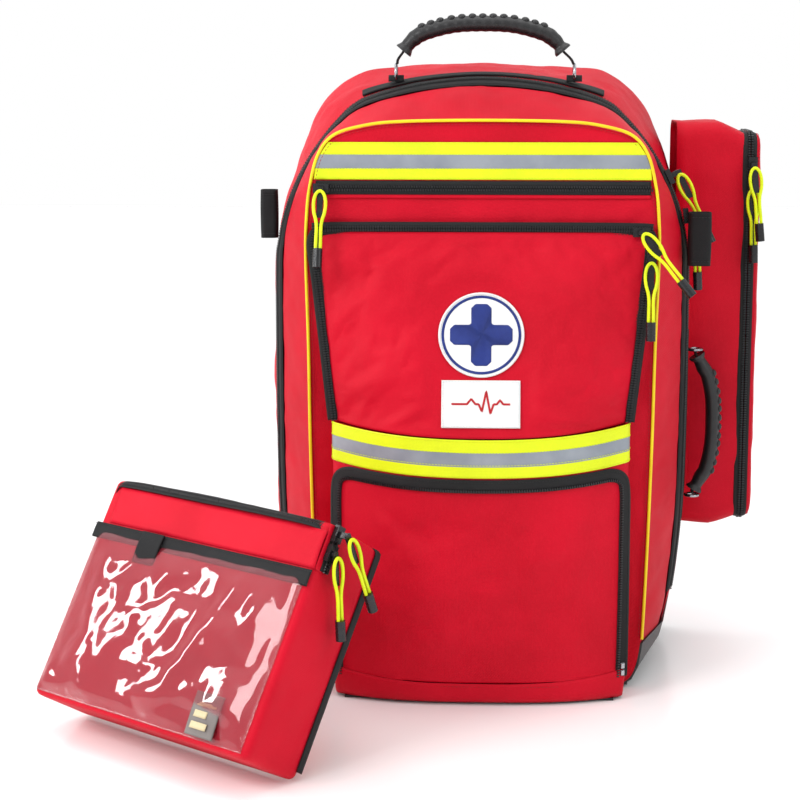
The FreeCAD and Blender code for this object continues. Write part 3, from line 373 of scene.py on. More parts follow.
def boxes(name, C, T, N, sizes, mat, body=None, taper=0.75):
    """Many small rounded blocks: centres C, along T, outward N; sizes (l, w, h)."""
    C, T, N = (np.asarray(x, float) for x in (C, T, N))
    T = T / np.linalg.norm(T, axis=1)[:, None]
    N = N - (N * T).sum(1)[:, None] * T
    N = N / np.linalg.norm(N, axis=1)[:, None]
    S = np.cross(T, N)
    l, w, h = sizes
    V, F = [], []
    lo_ = [(-1, -1, 0), (1, -1, 0), (1, 1, 0), (-1, 1, 0), (-taper, -taper, 1), (taper, -taper, 1), (taper, taper, 1), (-taper, taper, 1)]
    for i, (x, y, z) in enumerate(lo_):
        V.append(C + T * (x * l / 2) + S * (y * w / 2) + N * (z * h))
    V = np.stack(V, 1).reshape(-1, 3)
    base = np.arange(len(C))[:, None] * 8
    for f in ((0, 3, 2, 1), (4, 5, 6, 7), (0, 1, 5, 4), (1, 2, 6, 5), (2, 3, 7, 6), (3, 0, 4, 7)):
        F.append(base + np.array(f))
    F = np.concatenate(F, 0)
    return mesh_obj(name, V, F, mat, smooth=False)


def resample(path, step, closed=False):
    p = np.asarray(path, float)
    if closed:
        p = np.vstack([p, p[:1]])
    d = np.linalg.norm(np.diff(p, axis=0), axis=1)
    s = np.concatenate([[0], np.cumsum(d)])
    n = max(2, int(round(s[-1] / step)) + 1)
    q = np.linspace(0, s[-1], n)
    return np.stack([np.interp(q, s, p[:, k]) for k in range(3)], 1)


def tangents(p):
    return np.gradient(np.asarray(p, float), axis=0)


def row_of(name, path, nrm, pitch, size, lift, mat, body, zigzag=0.0):
    """Stitches or zip coils in a row along a path; nrm is a vector or one per path point."""
    path = np.asarray(path, float)
    p = resample(path, pitch)
    if np.ndim(nrm) == 2:
        d = np.linalg.norm(np.diff(path, axis=0), axis=1)
        s = np.concatenate([[0], np.cumsum(d)])
        q = np.linspace(0, s[-1], len(p))
        N = np.stack([np.interp(q, s, np.asarray(nrm, float)[:, k]) for k in range(3)], 1)
    else:
        N = np.tile(np.asarray(nrm, float), (len(p), 1))
    N = N / np.linalg.norm(N, axis=1)[:, None]
    T = tangents(p)
    if zigzag:
        S = np.cross(T / np.linalg.norm(T, axis=1)[:, None], N)
        p = p + S * (np.where(np.arange(len(p)) % 2 == 0, 1, -1) * zigzag)[:, None]
    o = boxes(name, p + N * lift, T, N, size, mat)
    if body:
        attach(o, body)
    return o


def tube(name, path, radii, mat, n=14, squish=None, cap=True, up=(0, 1, 0)):
    """A bar of varying radius along a path; squish=(a, b) scales its two cross directions."""
    p = np.asarray(path, float)
    T = tangents(p)
    T = T / np.linalg.norm(T, axis=1)[:, None]
    upv = np.asarray(up, float)
    A = np.cross(T, upv)
    A = A / np.linalg.norm(A, axis=1)[:, None]
    B = np.cross(A, T)
    r = np.broadcast_to(np.asarray(radii, float), (len(p),))
    qa, qb = squish or (1, 1)
    ang = np.linspace(0, 2 * math.pi, n, endpoint=False)
    P = p[:, None] + r[:, None, None] * (np.cos(ang)[None, :, None] * A[:, None] * qa + np.sin(ang)[None, :, None] * B[:, None] * qb)
    nu = len(p)
    idx = np.arange(nu * n).reshape(nu, n)
    F = [[idx[i, j], idx[i, (j + 1) % n], idx[i + 1, (j + 1) % n], idx[i + 1, j]] for i in range(nu - 1) for j in range(n)]
    if cap:
        F.append(list(idx[0])[::-1][::-1])
        F.append(list(idx[-1])[::-1])
    d = np.concatenate([[0], np.cumsum(np.linalg.norm(np.diff(p, axis=0), axis=1))]) * MM
    uv = np.stack(np.meshgrid(d, ang * float(r.mean()) * MM, indexing="ij"), -1).reshape(-1, 2)
    return mesh_obj(name, P.reshape(-1, 3), F, mat, uv)


def fbm(P, scale, seed=0.0, octaves=3):
    """Smooth noise in about -1..1 at points P (mm); scale in mm."""
    P = np.asarray(P, float)
    flat = P.reshape(-1, 3) / scale
    out = np.array([noise.fractal((x + seed, y - seed * 0.7, z + seed * 1.3), 1.0, 2.0, octaves) for x, y, z in flat])
    return out.reshape(P.shape[:-1])


def catmull(pts, m):
    """m points along a smooth line through pts, even in index space by segment length."""
    p = np.asarray(pts, float)
    e = np.vstack([2 * p[0] - p[1], p, 2 * p[-1] - p[-2]])
    d = np.concatenate([[0], np.cumsum(np.linalg.norm(np.diff(p, axis=0), axis=1))])
    q = np.linspace(0, d[-1], m)
    t = np.interp(q, d, np.arange(len(p)))
    return cat_at(e, t)


def cat_at(e, t):
    i = np.clip(np.floor(t).astype(int), 0, len(e) - 4)
    f = (t - i)[:, None]
    a, b, c, d = e[i], e[i + 1], e[i + 2], e[i + 3]
    return 0.5 * ((2 * b) + (c - a) * f + (2 * a - 5 * b + 4 * c - d) * f ** 2 + (3 * b - a - 3 * c + d) * f ** 3)


def cloth(o, pin=None, pressure=4.0, frames=20, grow=0.0, cap=8.0, mass=0.3, tension=15.0, bend=0.5, sub=True, keep=None):
    """Settles o as a sewn, filled fabric piece, then keeps it near its own cut shape.
    pin: weights 0..1 of held vertices."""
    me = o.data
    rest = np.array([v.co for v in me.vertices], float)
    if pin is not None:
        g = o.vertex_groups.new(name="pin")
        for i, w in enumerate(pin):
            if w > 0:
                g.add([i], float(w), "REPLACE")
    m = o.modifiers.new("cloth", "CLOTH")
    s = m.settings
    s.quality = 6
    s.mass = mass
    s.tension_stiffness = tension
    s.compression_stiffness = tension
    s.shear_stiffness = 5.0
    s.bending_stiffness = bend
    s.use_pressure = True
    s.uniform_pressure_force = pressure
    s.effector_weights.gravity = 0.0
    s.shrink_min = -grow
    if pin is not None:
        s.vertex_group_mass = "pin"
    m.collision_settings.use_collision = False
    m.point_cache.frame_start = 1
    m.point_cache.frame_end = frames
    sc = bpy.context.scene
    for f in range(1, frames + 1):
        sc.frame_set(f)
    dg = bpy.context.evaluated_depsgraph_get()
    ev = o.evaluated_get(dg).to_mesh()
    now = np.array([v.co for v in ev.vertices], float)
    o.evaluated_get(dg).to_mesh_clear()
    o.modifiers.clear()
    sc.frame_set(1)
    d = now - rest
    if keep is not None:
        d = d * np.asarray(keep, float)[:, None]
    L = np.linalg.norm(d, axis=1)
    k = np.where(L > cap * MM, cap * MM / np.maximum(L, 1e-9), 1.0)
    now = rest + d * k[:, None]
    me.vertices.foreach_set("co", now.astype(np.float32).ravel())
    me.update()
    if sub:
        sm = o.modifiers.new("s", "SUBSURF")
        sm.levels = sm.render_levels = 1
        bake(o)
    return o


# ------------------------------------------------ outlines of the body, in mm
def arc(deg):
    a = math.radians(deg)
    return (-7.0 + 210.0 * math.cos(a), 400.0 + 210.0 * math.sin(a))


LOW = 2.6
ZIP = [(148, LOW), (168, 12), (181, 31), (189, 60), (195, 95), (201, 160), (203, 250), arc(0), arc(9),
       arc(18), arc(27), arc(36), arc(45), arc(53), (78, 581.5), (39, 588.5), (0, 591)]
PIPE = [(138, LOW), (148, 10), (154, 23), (158, 48), (160, 95), (162, 160), (164, 250), (165, 375), (167, 430),
        (166, 462), (163, 490), (155, 520), (143, 537), (112, 547), (76, 551), (38, 552.5), (0, 553)]
REAR = [(170, LOW), (190, 12), (202, 31), (208, 60), (212, 95), (217, 160), (218, 250), (215, 375), (210, 425),
        (204, 462), (196, 495), (184, 530), (166, 568), (130, 597), (86, 603), (43, 605), (0, 606)]


def full(h):
    return h + [(-x, z) for x, z in reversed(h[:-1])]


FZ, FP, FR = (np.array(full(h), float) for h in (ZIP, PIPE, REAR))
EX = {k: np.vstack([2 * p[0] - p[1], p, 2 * p[-1] - p[-2]]) for k, p in (("z", FZ), ("p", FP), ("r", FR))}
_d = np.concatenate([[0], np.cumsum(np.linalg.norm(np.diff(FZ, axis=0), axis=1))])


def tparam(n):
    return np.interp(np.linspace(0, _d[-1], n), _d, np.arange(len(FZ)))


def outline(y, t):
    """Points (x, z) of the body's smooth outline at depth y, at parameters t."""
    if y >= -20:
        a, b, k = EX["z"], EX["r"], (y + 20) / 138.0
    else:
        a, b, k = EX["z"], EX["p"], (-20 - y) / 80.0
    return cat_at(a, t) * (1 - k) + cat_at(b, t) * k


def outward(q):
    """Unit outward normals of a closed-ish outline q (x, z), walked right, over the top, left."""
    g = np.gradient(q, axis=0)
    n = np.stack([g[:, 1], -g[:, 0]], 1)
    return n / np.linalg.norm(n, axis=1)[:, None]


def ring(ys, offs, n=460, t=None, lowcut=None):
    """Grid [n][len(ys)] on the body's surface at depths ys, pushed outwards by offs."""
    t = tparam(n) if t is None else t
    cols = []
    for y, d in zip(ys, offs):
        q = outline(y, t)
        q = q + outward(q) * (np.asarray(d)[..., None] if np.ndim(d) else d)
        q[:, 1] = np.maximum(q[:, 1], 1.2)
        cols.append(np.stack([q[:, 0], np.full(len(t), y), q[:, 1]], 1))
    return np.stack(cols, 1)


def edge_y(z):
    return -106.0 - 12.0 * (456.0 - z) / 194.0


def flap_y(z):
    return -106.0 - 56.0 * (456.0 - z) / 194.0


def fold_z(y):
    """Height of the fold line the front opens about."""
    return 20.0 + (y + 163.0) * 58.0 / 143.0


from mathutils.bvhtree import BVHTree


def bvh(o):
    dg = bpy.context.evaluated_depsgraph_get()
    return BVHTree.FromObject(o, dg)


def drape(P, tree, direction, gap, reach=60.0, matrix=None):
    """Points P (mm) laid on a surface: each is moved along direction to gap in front of what it meets."""
    P = np.asarray(P, float).copy()
    d = Vector(direction).normalized()
    if matrix is not None:
        d = (matrix.to_3x3() @ d).normalized()
    flat = P.reshape(-1, 3)
    out = flat.copy()
    for i, p in enumerate(flat):
        v = Vector(p) * MM
        if matrix is not None:
            v = matrix @ v
        h = tree.ray_cast(v - d * reach * MM, d, 2 * reach * MM)[0]
        if h is not None:
            h = h - d * gap * MM
            if matrix is not None:
                h = matrix.inverted() @ h
            out[i] = np.array(h) / MM
    return out.reshape(P.shape)


def coords_of(o):
    a = np.zeros(len(o.data.vertices) * 3, np.float32)
    o.data.vertices.foreach_get("co", a)
    return a.reshape(-1, 3).astype(float) / MM


def sstep(x):
    x = np.clip(x, 0, 1)
    return x * x * (3 - 2 * x)


def crease(P, a, b, width, height):
    """A soft fold from a to b over points P (x, z): its height at each."""
    a, b = np.asarray(a, float), np.asarray(b, float)
    X = P[..., [0, 2]]
    ab = b - a
    t = ((X - a) @ ab) / (ab @ ab)
    tc = np.clip(t, 0, 1)
    d = np.linalg.norm(X - (a + tc[..., None] * ab), axis=-1)
    return height * np.exp(-(d / width) ** 2) * np.sin(np.clip(0.12 + 0.88 * (1 - tc), 0, 1) * math.pi * 0.5)


def front_blend(o, *nodes, slot="fabric_red"):
    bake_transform(o)
    if nodes:
        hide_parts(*nodes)
    return o


T460 = tparam(520)
ys = list(np.linspace(-32.0, -99.0, 24)) + [-100.0]
offs = []
for y in ys:
    k = (y + 32) / -68.0
    offs.append(2.6 * math.sin(math.pi * min(1, max(0, k))) ** 0.7 - (0.8 if k > 0.985 else 0.0) - (0.7 if k < 0.02 else 0))
G = ring(ys, offs, t=T460)
wr = fbm(G * np.array([1, 0.4, 1]), 48.0, 3.1) * 3.0 + fbm(G * np.array([1, 0.3, 1]), 19.0, 8.7) * 0.8
edge = np.array([math.sin(math.pi * min(1, max(0, (y + 31) / -70.0))) ** 0.5 for y in ys])
q = outline(-60, T460)
nrm = outward(q)
G[..., 0] += nrm[:, 0][:, None] * wr * edge
G[..., 2] += nrm[:, 1][:, None] * wr * edge
G0 = ring(ys, [-0.4] * len(ys), t=T460)
G = G0 + (G - G0) * sstep((G0[..., 2:3] - 44.0) / 34.0)
G[..., 2] = np.maximum(G[..., 2], 1.4)
gus = grid("front_gusset_fabric", G, RED, t=1.1, inside=(0, -60, 300))
front_blend(gus, "front_shell", "lower_gusset")

# front panel inside the piping
rs = np.concatenate([np.linspace(1.0, 0.9, 9), np.linspace(0.88, 0.02, 26)])
q = outline(-100, T460)
c0 = np.array([0.0, 300.0])
Pn = np.stack([np.stack([c0[0] + (q[:, 0] - c0[0]) * r, np.full(len(q), -100.0), c0[1] + (q[:, 1] - c0[1]) * r], 1) for r in rs], 1)
w = fbm(Pn, 60.0, 5.5) * 2.2 + fbm(Pn, 22.0, 1.5) * 0.5
w += crease(Pn, (-150, 470), (-90, 455), 9, 1.4) + crease(Pn, (150, 474), (60, 462), 8, 1.2)
side_zone = sstep((1 - rs) / 0.05)[None, :]
tape_zone = sstep((np.abs(Pn[..., 2] - 516) - 22) / 14.0) * sstep((np.abs(Pn[..., 2] - 490) - 8) / 10.0)
top_zone = sstep((Pn[..., 2] - 532) / 8.0)
Pn[..., 1] -= w * side_zone * tape_zone - 0.2 + 1.6 * side_zone * top_zone * 0.6
pan = grid("front_panel_fabric", Pn, RED, t=1.1, inside=(0, 0, 300))
front_blend(pan)

# front base band under the lowest pocket
def rail(pts, r=7.0, n=7):
    """A polyline in plan with rounded corners."""
    p = [np.array(x, float) for x in pts]
    out = [p[0]]
    for a, b, c in zip(p, p[1:], p[2:]):
        u = (a - b) / np.linalg.norm(a - b)
        v = (c - b) / np.linalg.norm(c - b)
        s, e = b + u * r, b + v * r
        for k in np.linspace(0, 1, n):
            out.append((1 - k) ** 2 * s + 2 * k * (1 - k) * b + k * k * e)
    out.append(p[-1])
    out = np.array(out)
    return np.c_[out, np.zeros(len(out))]


def tier_y(x, z):
    """Depth of the lowest pocket's face: filled, so its middle stands proud of its ends."""
    return -160.0 + (25.0 + 17.0 * np.clip(z, 0, 262) / 262.0) * (np.abs(x) / 143.0) ** 3


def sag(x):
    """Seams across the filled pocket sag in the middle."""
    return 9.5 * (np.abs(x) / 143.0) ** 2 - 2.0


def tier_plan(z, half, y_end, out=0.0, n=150, r=6.0):
    """Plan line round the pocket at height z: side, rounded corner, curved face, corner, side."""
    x = np.linspace(half - r, -half + r, n)
    f = np.c_[x, tier_y(x, z) - out]
    yc = float(tier_y(np.array([half]), z)[0]) - out
    a = [(half, y_end + (yc + r - y_end) * k) for k in np.linspace(0, 1, 12)]
    c = []
    for k in np.linspace(0.1, 0.9, 5):
        p0, p1, p2 = np.array([half, yc + r]), np.array([half, yc - 1.0]), f[0]
        c.append((1 - k) ** 2 * p0 + 2 * k * (1 - k) * p1 + k * k * p2)
    right = np.array(a + [tuple(q) for q in c])
    left = right[::-1] * [-1, 1]
    return np.vstack([right, f, left])


zs = np.linspace(2.0, 21.0, 8)
B = np.stack([np.c_[tier_plan(z, 139.0 + 3.0 * z / 21.0, -99.0), np.full(184, z)] for z in zs], 1)
B[..., 2] *= (fold_z(B[..., 1]) + 0.5) / 21.2
bul = np.sin(np.pi * (zs - 2) / 20.5)[None, :] ** 0.6
B[..., 1] -= (1.0 + 1.4 * bul + fbm(B, 30.0, 2.2) * 0.7 * bul) * (B[..., 1] < -115)
B[:, 0, 1] += 3.0 * (B[:, 0, 1] < -115)
B[:, 1, 1] += 0.8 * (B[:, 1, 1] < -115)
band = put(grid("front_base_band", B, RED, t=1.4, inside=(0, -100, 10)), "pack", slot="fabric_red")
fl = np.stack([np.stack([[x, y, 2.2] for y in (-140, -130, -104)], 0) for x in np.linspace(-126, 126, 20)], 0)
put(grid("front_base_floor", fl, VINYL, t=0.8, inside=(0, -130, 50)), "pack", slot="pvc_black")
row_of("base_band_stitches", np.array([[x, float(tier_y(np.array([x]), 20)[0]) - 1.6, 18.6] for x in np.linspace(-130, 130, 90)]), (0, -1, 0), 3.6, (2.5, 0.7, 0.35), 0.1, THREADM, "pack")

# --------------------------------------------------------------- rear body
ys = [-8.4, -7.0] + list(np.linspace(-4, 108, 30)) + [112.0, 115.2, 117.2, 118.0]
offs = []
for y in ys:
    k = (y + 8) / 126.0
    b = 2.2 * math.sin(math.pi * min(1, max(0, k))) ** 0.8
    if y > 108:
        b = -6.0 * (1 - math.sqrt(max(0, 1 - ((y - 108) / 10.0) ** 2)))
    offs.append(b - (0.5 if y < -7.5 else 0))
R = ring(ys, offs, t=T460)
wr = fbm(R * np.array([1, 0.5, 1]), 58.0, 9.3) * 3.2 + fbm(R, 22.0, 4.4) * 0.8
edge = np.array([math.sin(math.pi * min(1, max(0, (y + 9) / 124.0))) ** 0.45 for y in ys])
nrm = outward(outline(50, T460))
R[..., 0] += nrm[:, 0][:, None] * wr * edge
R[..., 2] += nrm[:, 1][:, None] * wr * edge
R0 = ring(ys, [-0.4 if y < 108 else -6.0 * (1 - math.sqrt(max(0, 1 - ((y - 108) / 10.0) ** 2))) - 0.4 for y in ys], t=T460)
R = R0 + (R - R0) * sstep((R0[..., 2:3] - 44.0) / 34.0)
R[..., 2] = np.maximum(R[..., 2], 1.4)
# back panel closes the rear
last = R[:, -1]
cb = np.array([0, 118.0, 300.0])
fan = np.stack([cb + (last - cb) * r for r in np.linspace(0.985, 0.0008, 28)], 1)
fan[..., 1] = 118.6 + np.abs(fbm(fan, 70.0, 3.9)) * 0.8
R = np.concatenate([R, fan], 1)
# lower gore of the back panel, between the ring's two feet
e0, e1 = R0[0, -1].copy(), R0[-1, -1].copy()
foot = np.stack([e0 + (e1 - e0) * k for k in np.linspace(-0.01, 1.01, 40)], 0)
gore = np.stack([cb + (foot - cb) * r for r in np.linspace(1.0, 0.001, 28)], 1)
gore[..., 1] = 118.5 + np.abs(fbm(gore, 70.0, 3.9)) * 0.8
gore[..., 2] = np.maximum(gore[..., 2], 1.6)
put(grid("back_panel_gore_fabric", gore, RED, t=1.0, inside=(0, 40, 200)), "pack", slot="fabric_red")
rear = put(grid("rear_shell_fabric", R, RED, t=1.1, inside=(0, 40, 300)), "pack", "rear_shell", slot="fabric_red")
# vinyl boot, its base panel cut back under the curved pocket
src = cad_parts["base_boot"]
bm_ = src.data.copy()
bm_.transform(src.matrix_world)
for v in bm_.vertices:
    if v.co.y < -0.150 and v.co.z < 0.0035:
        v.co.y = -0.141
bm_.materials.clear()
boot_o = link(bpy.data.objects.new("base_boot_vinyl", bm_))
bm_.materials.append(VINYL)
put(boot_o, "pack", "base_boot", slot="pvc_black")
# bottom of the body
bt = []
for x in np.linspace(-1, 1, 30):
    bt.append([[x * (146 + 22 * (y + 100) / 218.0), y, 2.4] for y in np.linspace(-98, 117, 24)])
put(grid("floor_panel_fabric", np.array(bt), VINYL, t=1.0, inside=(0, 0, 200)), "pack", slot="pvc_black")

# seam rows beside the main zip
tz = T460[outline(-20, T460)[:, 1] > 80.5]


def zip_path(y, d):
    q = outline(y, tz)
    n = outward(q)
    q = q + n * d
    return np.c_[q[:, 0], np.full(len(q), y), q[:, 1]], np.c_[n[:, 0], np.zeros(len(q)), n[:, 1]]


# main zip: two tapes, each with its own coil
def zip_tape(name, ys, offs, body, node_):
    t = np.interp(np.linspace(0, len(tz) - 1, 480), np.arange(len(tz)), tz)
    P = ring(ys, offs, t=t)
    rip = fbm(P * np.array([1, 3, 1]), 12.0, 6.0) * 0.25
    n = outward(outline(-20, t))
    P[..., 0] += n[:, 0][:, None] * rip
    P[..., 2] += n[:, 1][:, None] * rip
    return put(grid(name, P, ZTAPE, t=0.9, inside=(0, -20, 300)), body, node_, slot="zip_black")


zip_tape("main_zip_tape_front", [-33.0, -31.0, -28.4, -26.0, -23.6, -22.4, -20.5], [1.0, 1.9, 2.1, 1.7, 1.4, 1.1, 0.9], "lid", "main_zip_front")
zip_tape("main_zip_tape_rear", [-7.0, -8.8, -11.5, -14.0, -16.4, -17.6, -19.5], [0.8, 1.7, 2.0, 1.6, 1.4, 1.1, 0.9], "pack", "main_zip_rear")
p, n = zip_path(-21.6, 1.0)
row_of("main_zip_coil_front", p, n, 2.5, (1.5, 3.0, 1.5), 0.2, COIL, "lid")
p, n = zip_path(-18.4, 1.0)
row_of("main_zip_coil_rear", p[1:], n[1:], 2.5, (1.5, 3.0, 1.5), 0.2, COIL, "pack")
for y, nm, bd in ((-31.0, "front", "lid"), (-9.2, "rear", "pack")):
    p, n = zip_path(y, 1.75)
    row_of("main_zip_stitch_" + nm, p, n, 3.4, (2.3, 0.6, 0.4), 0.15, THREADB, bd)

# piping round the front panel
half = [(158.2, 50), (160, 95), (162, 160), (164, 250), (165, 340), (167, 425), (166, 462), (163, 490), (155, 520), (140, 539), (112, 548), (76, 552)]
pts = [(x + 1.2, z + (1.2 if z > 500 else 0)) for x, z in half] + [(0, 554.4)]
pts = pts + [(-x, z) for x, z in reversed(pts[:-1])]
pp = catmull([(x, -101.2, z) for x, z in pts], 330)
pip = tube("piping_cord", pp, 1.5, PIPM, n=10)
put(pip, "lid", "piping", slot="piping_yellow")
inn = pp.copy()
inn[:, 0] *= 0.978
inn[:, 2] = 300 + (inn[:, 2] - 300) * 0.985
inn[:, 1] = -101.0
row_of("piping_stitches", inn, (0, -1, 0), 3.6, (2.4, 0.6, 0.35), 0.0, THREADM, "lid")


# ----------------------------------------------------- reflective tapes
def tape(name, P, body, node_, cuts=(0.33, 0.67)):
    o = grid(name, P, [LIME, SILVER], inside=(0, 0, 300))
    nv = P.shape[1]
    per = nv - 1
    for poly in o.data.polygons:
        v = (poly.index % per + 0.5) / per
        poly.material_index = 1 if cuts[0] < v < cuts[1] else 0
    thick(o, 0.7)
    return put(o, body, node_, slot="tape_reflective")


zs = np.linspace(498.6, 533.8, 25)
rows = []
for z in zs:
    xw = np.interp(z, [498, 512, 524, 534], [160.0, 158.5, 153.0, 146.0])
    x = np.linspace(-xw, xw, 150)
    rows.append(np.c_[x, np.full(150, -101.25), np.full(150, z)])
P = np.stack(rows, 1)
P[..., 1] += fbm(P, 50.0, 7.7) * 0.35
tape("upper_tape_band", P, "lid", "upper_reflective_tape", (0.31, 0.66))
for k, z in enumerate((500.2, 509.0, 522.6, 532.4)):
    xw = np.interp(z, [498, 512, 524, 534], [158.0, 156.5, 151.0, 144.0])
    row_of("upper_tape_stitch_%d" % k, np.array([[x, -101.6, z] for x in np.linspace(-xw, xw, 60)]), (0, -1, 0), 3.0, (2.0, 0.5, 0.3), 0.0, LIME, "lid")


def strip_on(name, path, width_vec, w, mat, body, node_=None, slot=None, t=0.9, bow=0.5, n=7, nrm=(0, -1, 0), rip=0.2, inside=None):
    """A flat tape of width w centred on a path; width_vec is one direction or one per point."""
    path = np.asarray(path, float)
    W2 = np.broadcast_to(np.asarray(width_vec, float), path.shape)
    W2 = W2 / np.linalg.norm(W2, axis=1)[:, None]
    N = np.broadcast_to(np.asarray(nrm, float), path.shape)
    N = N / np.linalg.norm(N, axis=1)[:, None]
    k = np.linspace(-1, 1, n)
    P = path[:, None] + W2[:, None] * (k * w / 2)[None, :, None] + N[:, None] * (bow * (1 - k ** 2))[None, :, None]
    if rip:
        P = P + N[:, None] * (fbm(P, 14.0, 2.7) * rip)[..., None]
    c = path.mean(0) - np.asarray(N).mean(0) * 40 if inside is None else inside
    o = grid(name, P, mat, t=t, inside=c)
    if body:
        put(o, body, *([node_] if node_ else []), slot=slot)
    return o


# top pocket zip
path = np.c_[np.linspace(-158, 159, 130), np.full(130, -101.3), np.full(130, 490.5)]
strip_on("top_zip_tape", path, (0, 0, 1), 14.0, ZTAPE, "lid", "top_pocket_zip", "zip_black", t=1.0, bow=0.7)
row_of("top_zip_coil_up", path + [0, -0.8, 1.5], (0, -1, 0), 2.4, (1.4, 2.8, 1.3), 0.0, COIL, "lid")
row_of("top_zip_coil_low", path + [1.2, -0.8, -1.5], (0, -1, 0), 2.4, (1.4, 2.8, 1.3), 0.0, COIL, "lid")
row_of("top_zip_stitch", path + [0, -0.5, -5.6], (0, -1, 0), 3.2, (2.1, 0.6, 0.3), 0.0, THREADB, "lid")
hem = path.copy()
hem[:, 2] = 482.6
strip_on("top_pocket_hem", hem, (0, 0, 1), 4.0, RED, "lid", slot="fabric_red", t=0.9, bow=1.2, n=7)

# ----------------------------------------------------- middle pocket front
zs = np.linspace(262.5, 449.5, 70)
rows = []
for z in zs:
    xe = np.interp(z, [262, 432, 446, 450], [137.5, 156.5, 153.5, 148.0])
    k = np.linspace(-1, 1, 121)
    x = xe * np.sign(k) * np.abs(k) ** 0.92
    pw_ = np.interp(z, [262, 440], [3.0, 5.0])
    s = 1 - (np.abs(x) / (xe * 1.01)) ** pw_
    y = edge_y(z) + 0.6 + (flap_y(z) - edge_y(z) - 0.6) * s
    lowk = np.clip((300 - z) / 38.0, 0, 1)
    rows.append(np.c_[x, y, z + sag(x) * lowk])
P = np.stack(rows, 1)
mask = sstep((np.hypot(P[..., 0], (P[..., 2] - 355)) - 42) / 30.0) * sstep(np.maximum((np.abs(P[..., 0]) - 40) / 25.0, (np.abs(P[..., 2] - 292) - 26) / 20.0))
edge = np.clip((157 - np.abs(P[..., 0])) / 22, 0, 1) * np.clip((450 - P[..., 2]) / 14, 0, 1) * np.clip((P[..., 2] - 268) / 8, 0, 1)
w = fbm(P, 58.0, 12.2) * 3.4 + fbm(P, 21.0, 3.3) * 0.6
w += crease(P, (-142, 436), (-70, 396), 10, 2.2) - crease(P, (-136, 420), (-84, 372), 9, 1.6)
w += crease(P, (146, 438), (80, 400), 9, 2.0) - crease(P, (140, 424), (96, 380), 8, 1.3)
w += crease(P, (-120, 300), (-60, 330), 12, 1.2) + crease(P, (118, 300), (66, 334), 11, 1.3)
P[..., 1] -= w * edge * mask
P[..., 1] = np.minimum(P[..., 1], edge_y(P[..., 2]) + 1.0)
flap = grid("mid_pocket_front_fabric", P, RED, t=1.4, inside=(0, 0, 350))
a_ = np.array([v.co for v in flap.data.vertices]) / MM
free = sstep((np.hypot(a_[:, 0], a_[:, 2] - 355) - 42) / 22.0) * sstep(np.maximum((np.abs(a_[:, 0]) - 40) / 20.0, (np.abs(a_[:, 2] - 292) - 26) / 14.0))
rim = (a_[:, 2] > 444) | (a_[:, 2] < 268 + sag(a_[:, 0])) | (np.abs(a_[:, 0]) > np.interp(a_[:, 2], [262, 432, 450], [131, 150, 142]))
cloth(flap, pin=rim.astype(float), pressure=1.2, grow=0.012, cap=4.0, sub=False, keep=free)
put(flap, "pocket_front", "mid_pocket_flap", slot="fabric_red")
flap_tree = bvh(flap)

half = [(140.6, 270.0), (143.5, 295), (147.5, 330), (152.0, 368), (156.5, 405), (160.2, 432), (160.0, 442), (155.5, 449.5), (147, 452.4)]
pz = half + [(0, 452.8)] + [(-x, z) for x, z in reversed(half)]
pz = catmull([(x, 0, z) for x, z in pz], 300)
pz[:, 1] = edge_y(pz[:, 2]) - 0.3
tg = tangents(pz)
wv = np.cross(tg, (0, -1, 0))
nn = np.tile([0, -1.0, 0.06], (len(pz), 1))
strip_on("mid_zip_tape", pz, wv, 12.5, ZTAPE, "pocket_front", "mid_pocket_zip", "zip_black", t=1.3, bow=0.9, nrm=nn, n=9)
wvn = wv / np.linalg.norm(wv, axis=1)[:, None]
for s_, nm in ((-1.4, "outer"), (1.4, "inner")):
    row_of("mid_zip_coil_" + nm, pz + wvn * s_ + [0, -1.0, 0], nn, 2.4, (1.4, 2.6, 1.3), 0.0, COIL, "pocket_front")
row_of("mid_zip_stitch", pz - wvn * 5.0 + [0, -0.6, 0], nn, 3.2, (2.1, 0.6, 0.3), 0.0, THREADB, "pocket_front")
# gusset behind the zip
gp = pz + wvn * 0
rows = [gp * [1, 0, 1] + [0, -100.2, 0] + wvn * 0.0, gp + [0, 1.6, 0]]
Gm = np.stack([rows[0] * (1 - k) + rows[1] * k for k in np.linspace(0, 1, 5)], 1)
put(grid("mid_pocket_gusset_fabric", Gm, RED, t=1.2, inside=(0, -100, 350)), "lid", "mid_pocket_gusset", slot="fabric_red")
bot = []
for x in np.linspace(-137, 137, 60):
    yf = float(tier_y(np.array([x]), 262)[0]) + 4
    bot.append([[x, y, 265.0 + float(sag(np.array([x]))[0])] for y in np.linspace(-100.2, min(yf, -104), 6)])
put(grid("mid_pocket_floor_fabric", np.array(bot), RED, t=1.2, inside=(0, -120, 400)), "lid", slot="fabric_red")

# --------------------------------------------------------------- patches
TILT = math.atan2(56.0, 194.0)


def on_flap(a, b, z0, lift):
    """Point on the leaning pocket front: a across, b up the slope from height z0."""
    z = z0 + b * math.cos(TILT)
    y = flap_y(z0) + b * math.sin(TILT)
    return np.stack([a, y - lift * math.cos(TILT) + 0 * a, z + lift * math.sin(TILT)], -1)


def disc(name, r0, r1, z0, lift, mat, n=96, m=8, dome=0.0, t=0.8):
    ang = np.linspace(0, 2 * math.pi, n, endpoint=False)
    rr = np.linspace(r0, r1, m)
    A, Rr = np.meshgrid(ang, rr, indexing="ij")
    k = (Rr - r0) / max(1e-6, r1 - r0)
    P = on_flap(Rr * np.cos(A), Rr * np.sin(A), z0, lift)
    P = P - np.array([0, math.cos(TILT), -math.sin(TILT)]) * (dome * (1 - (2 * k - 1) ** 2))[..., None]
    return grid(name, P, mat, cu=True, t=t, inside=(0, 0, z0))


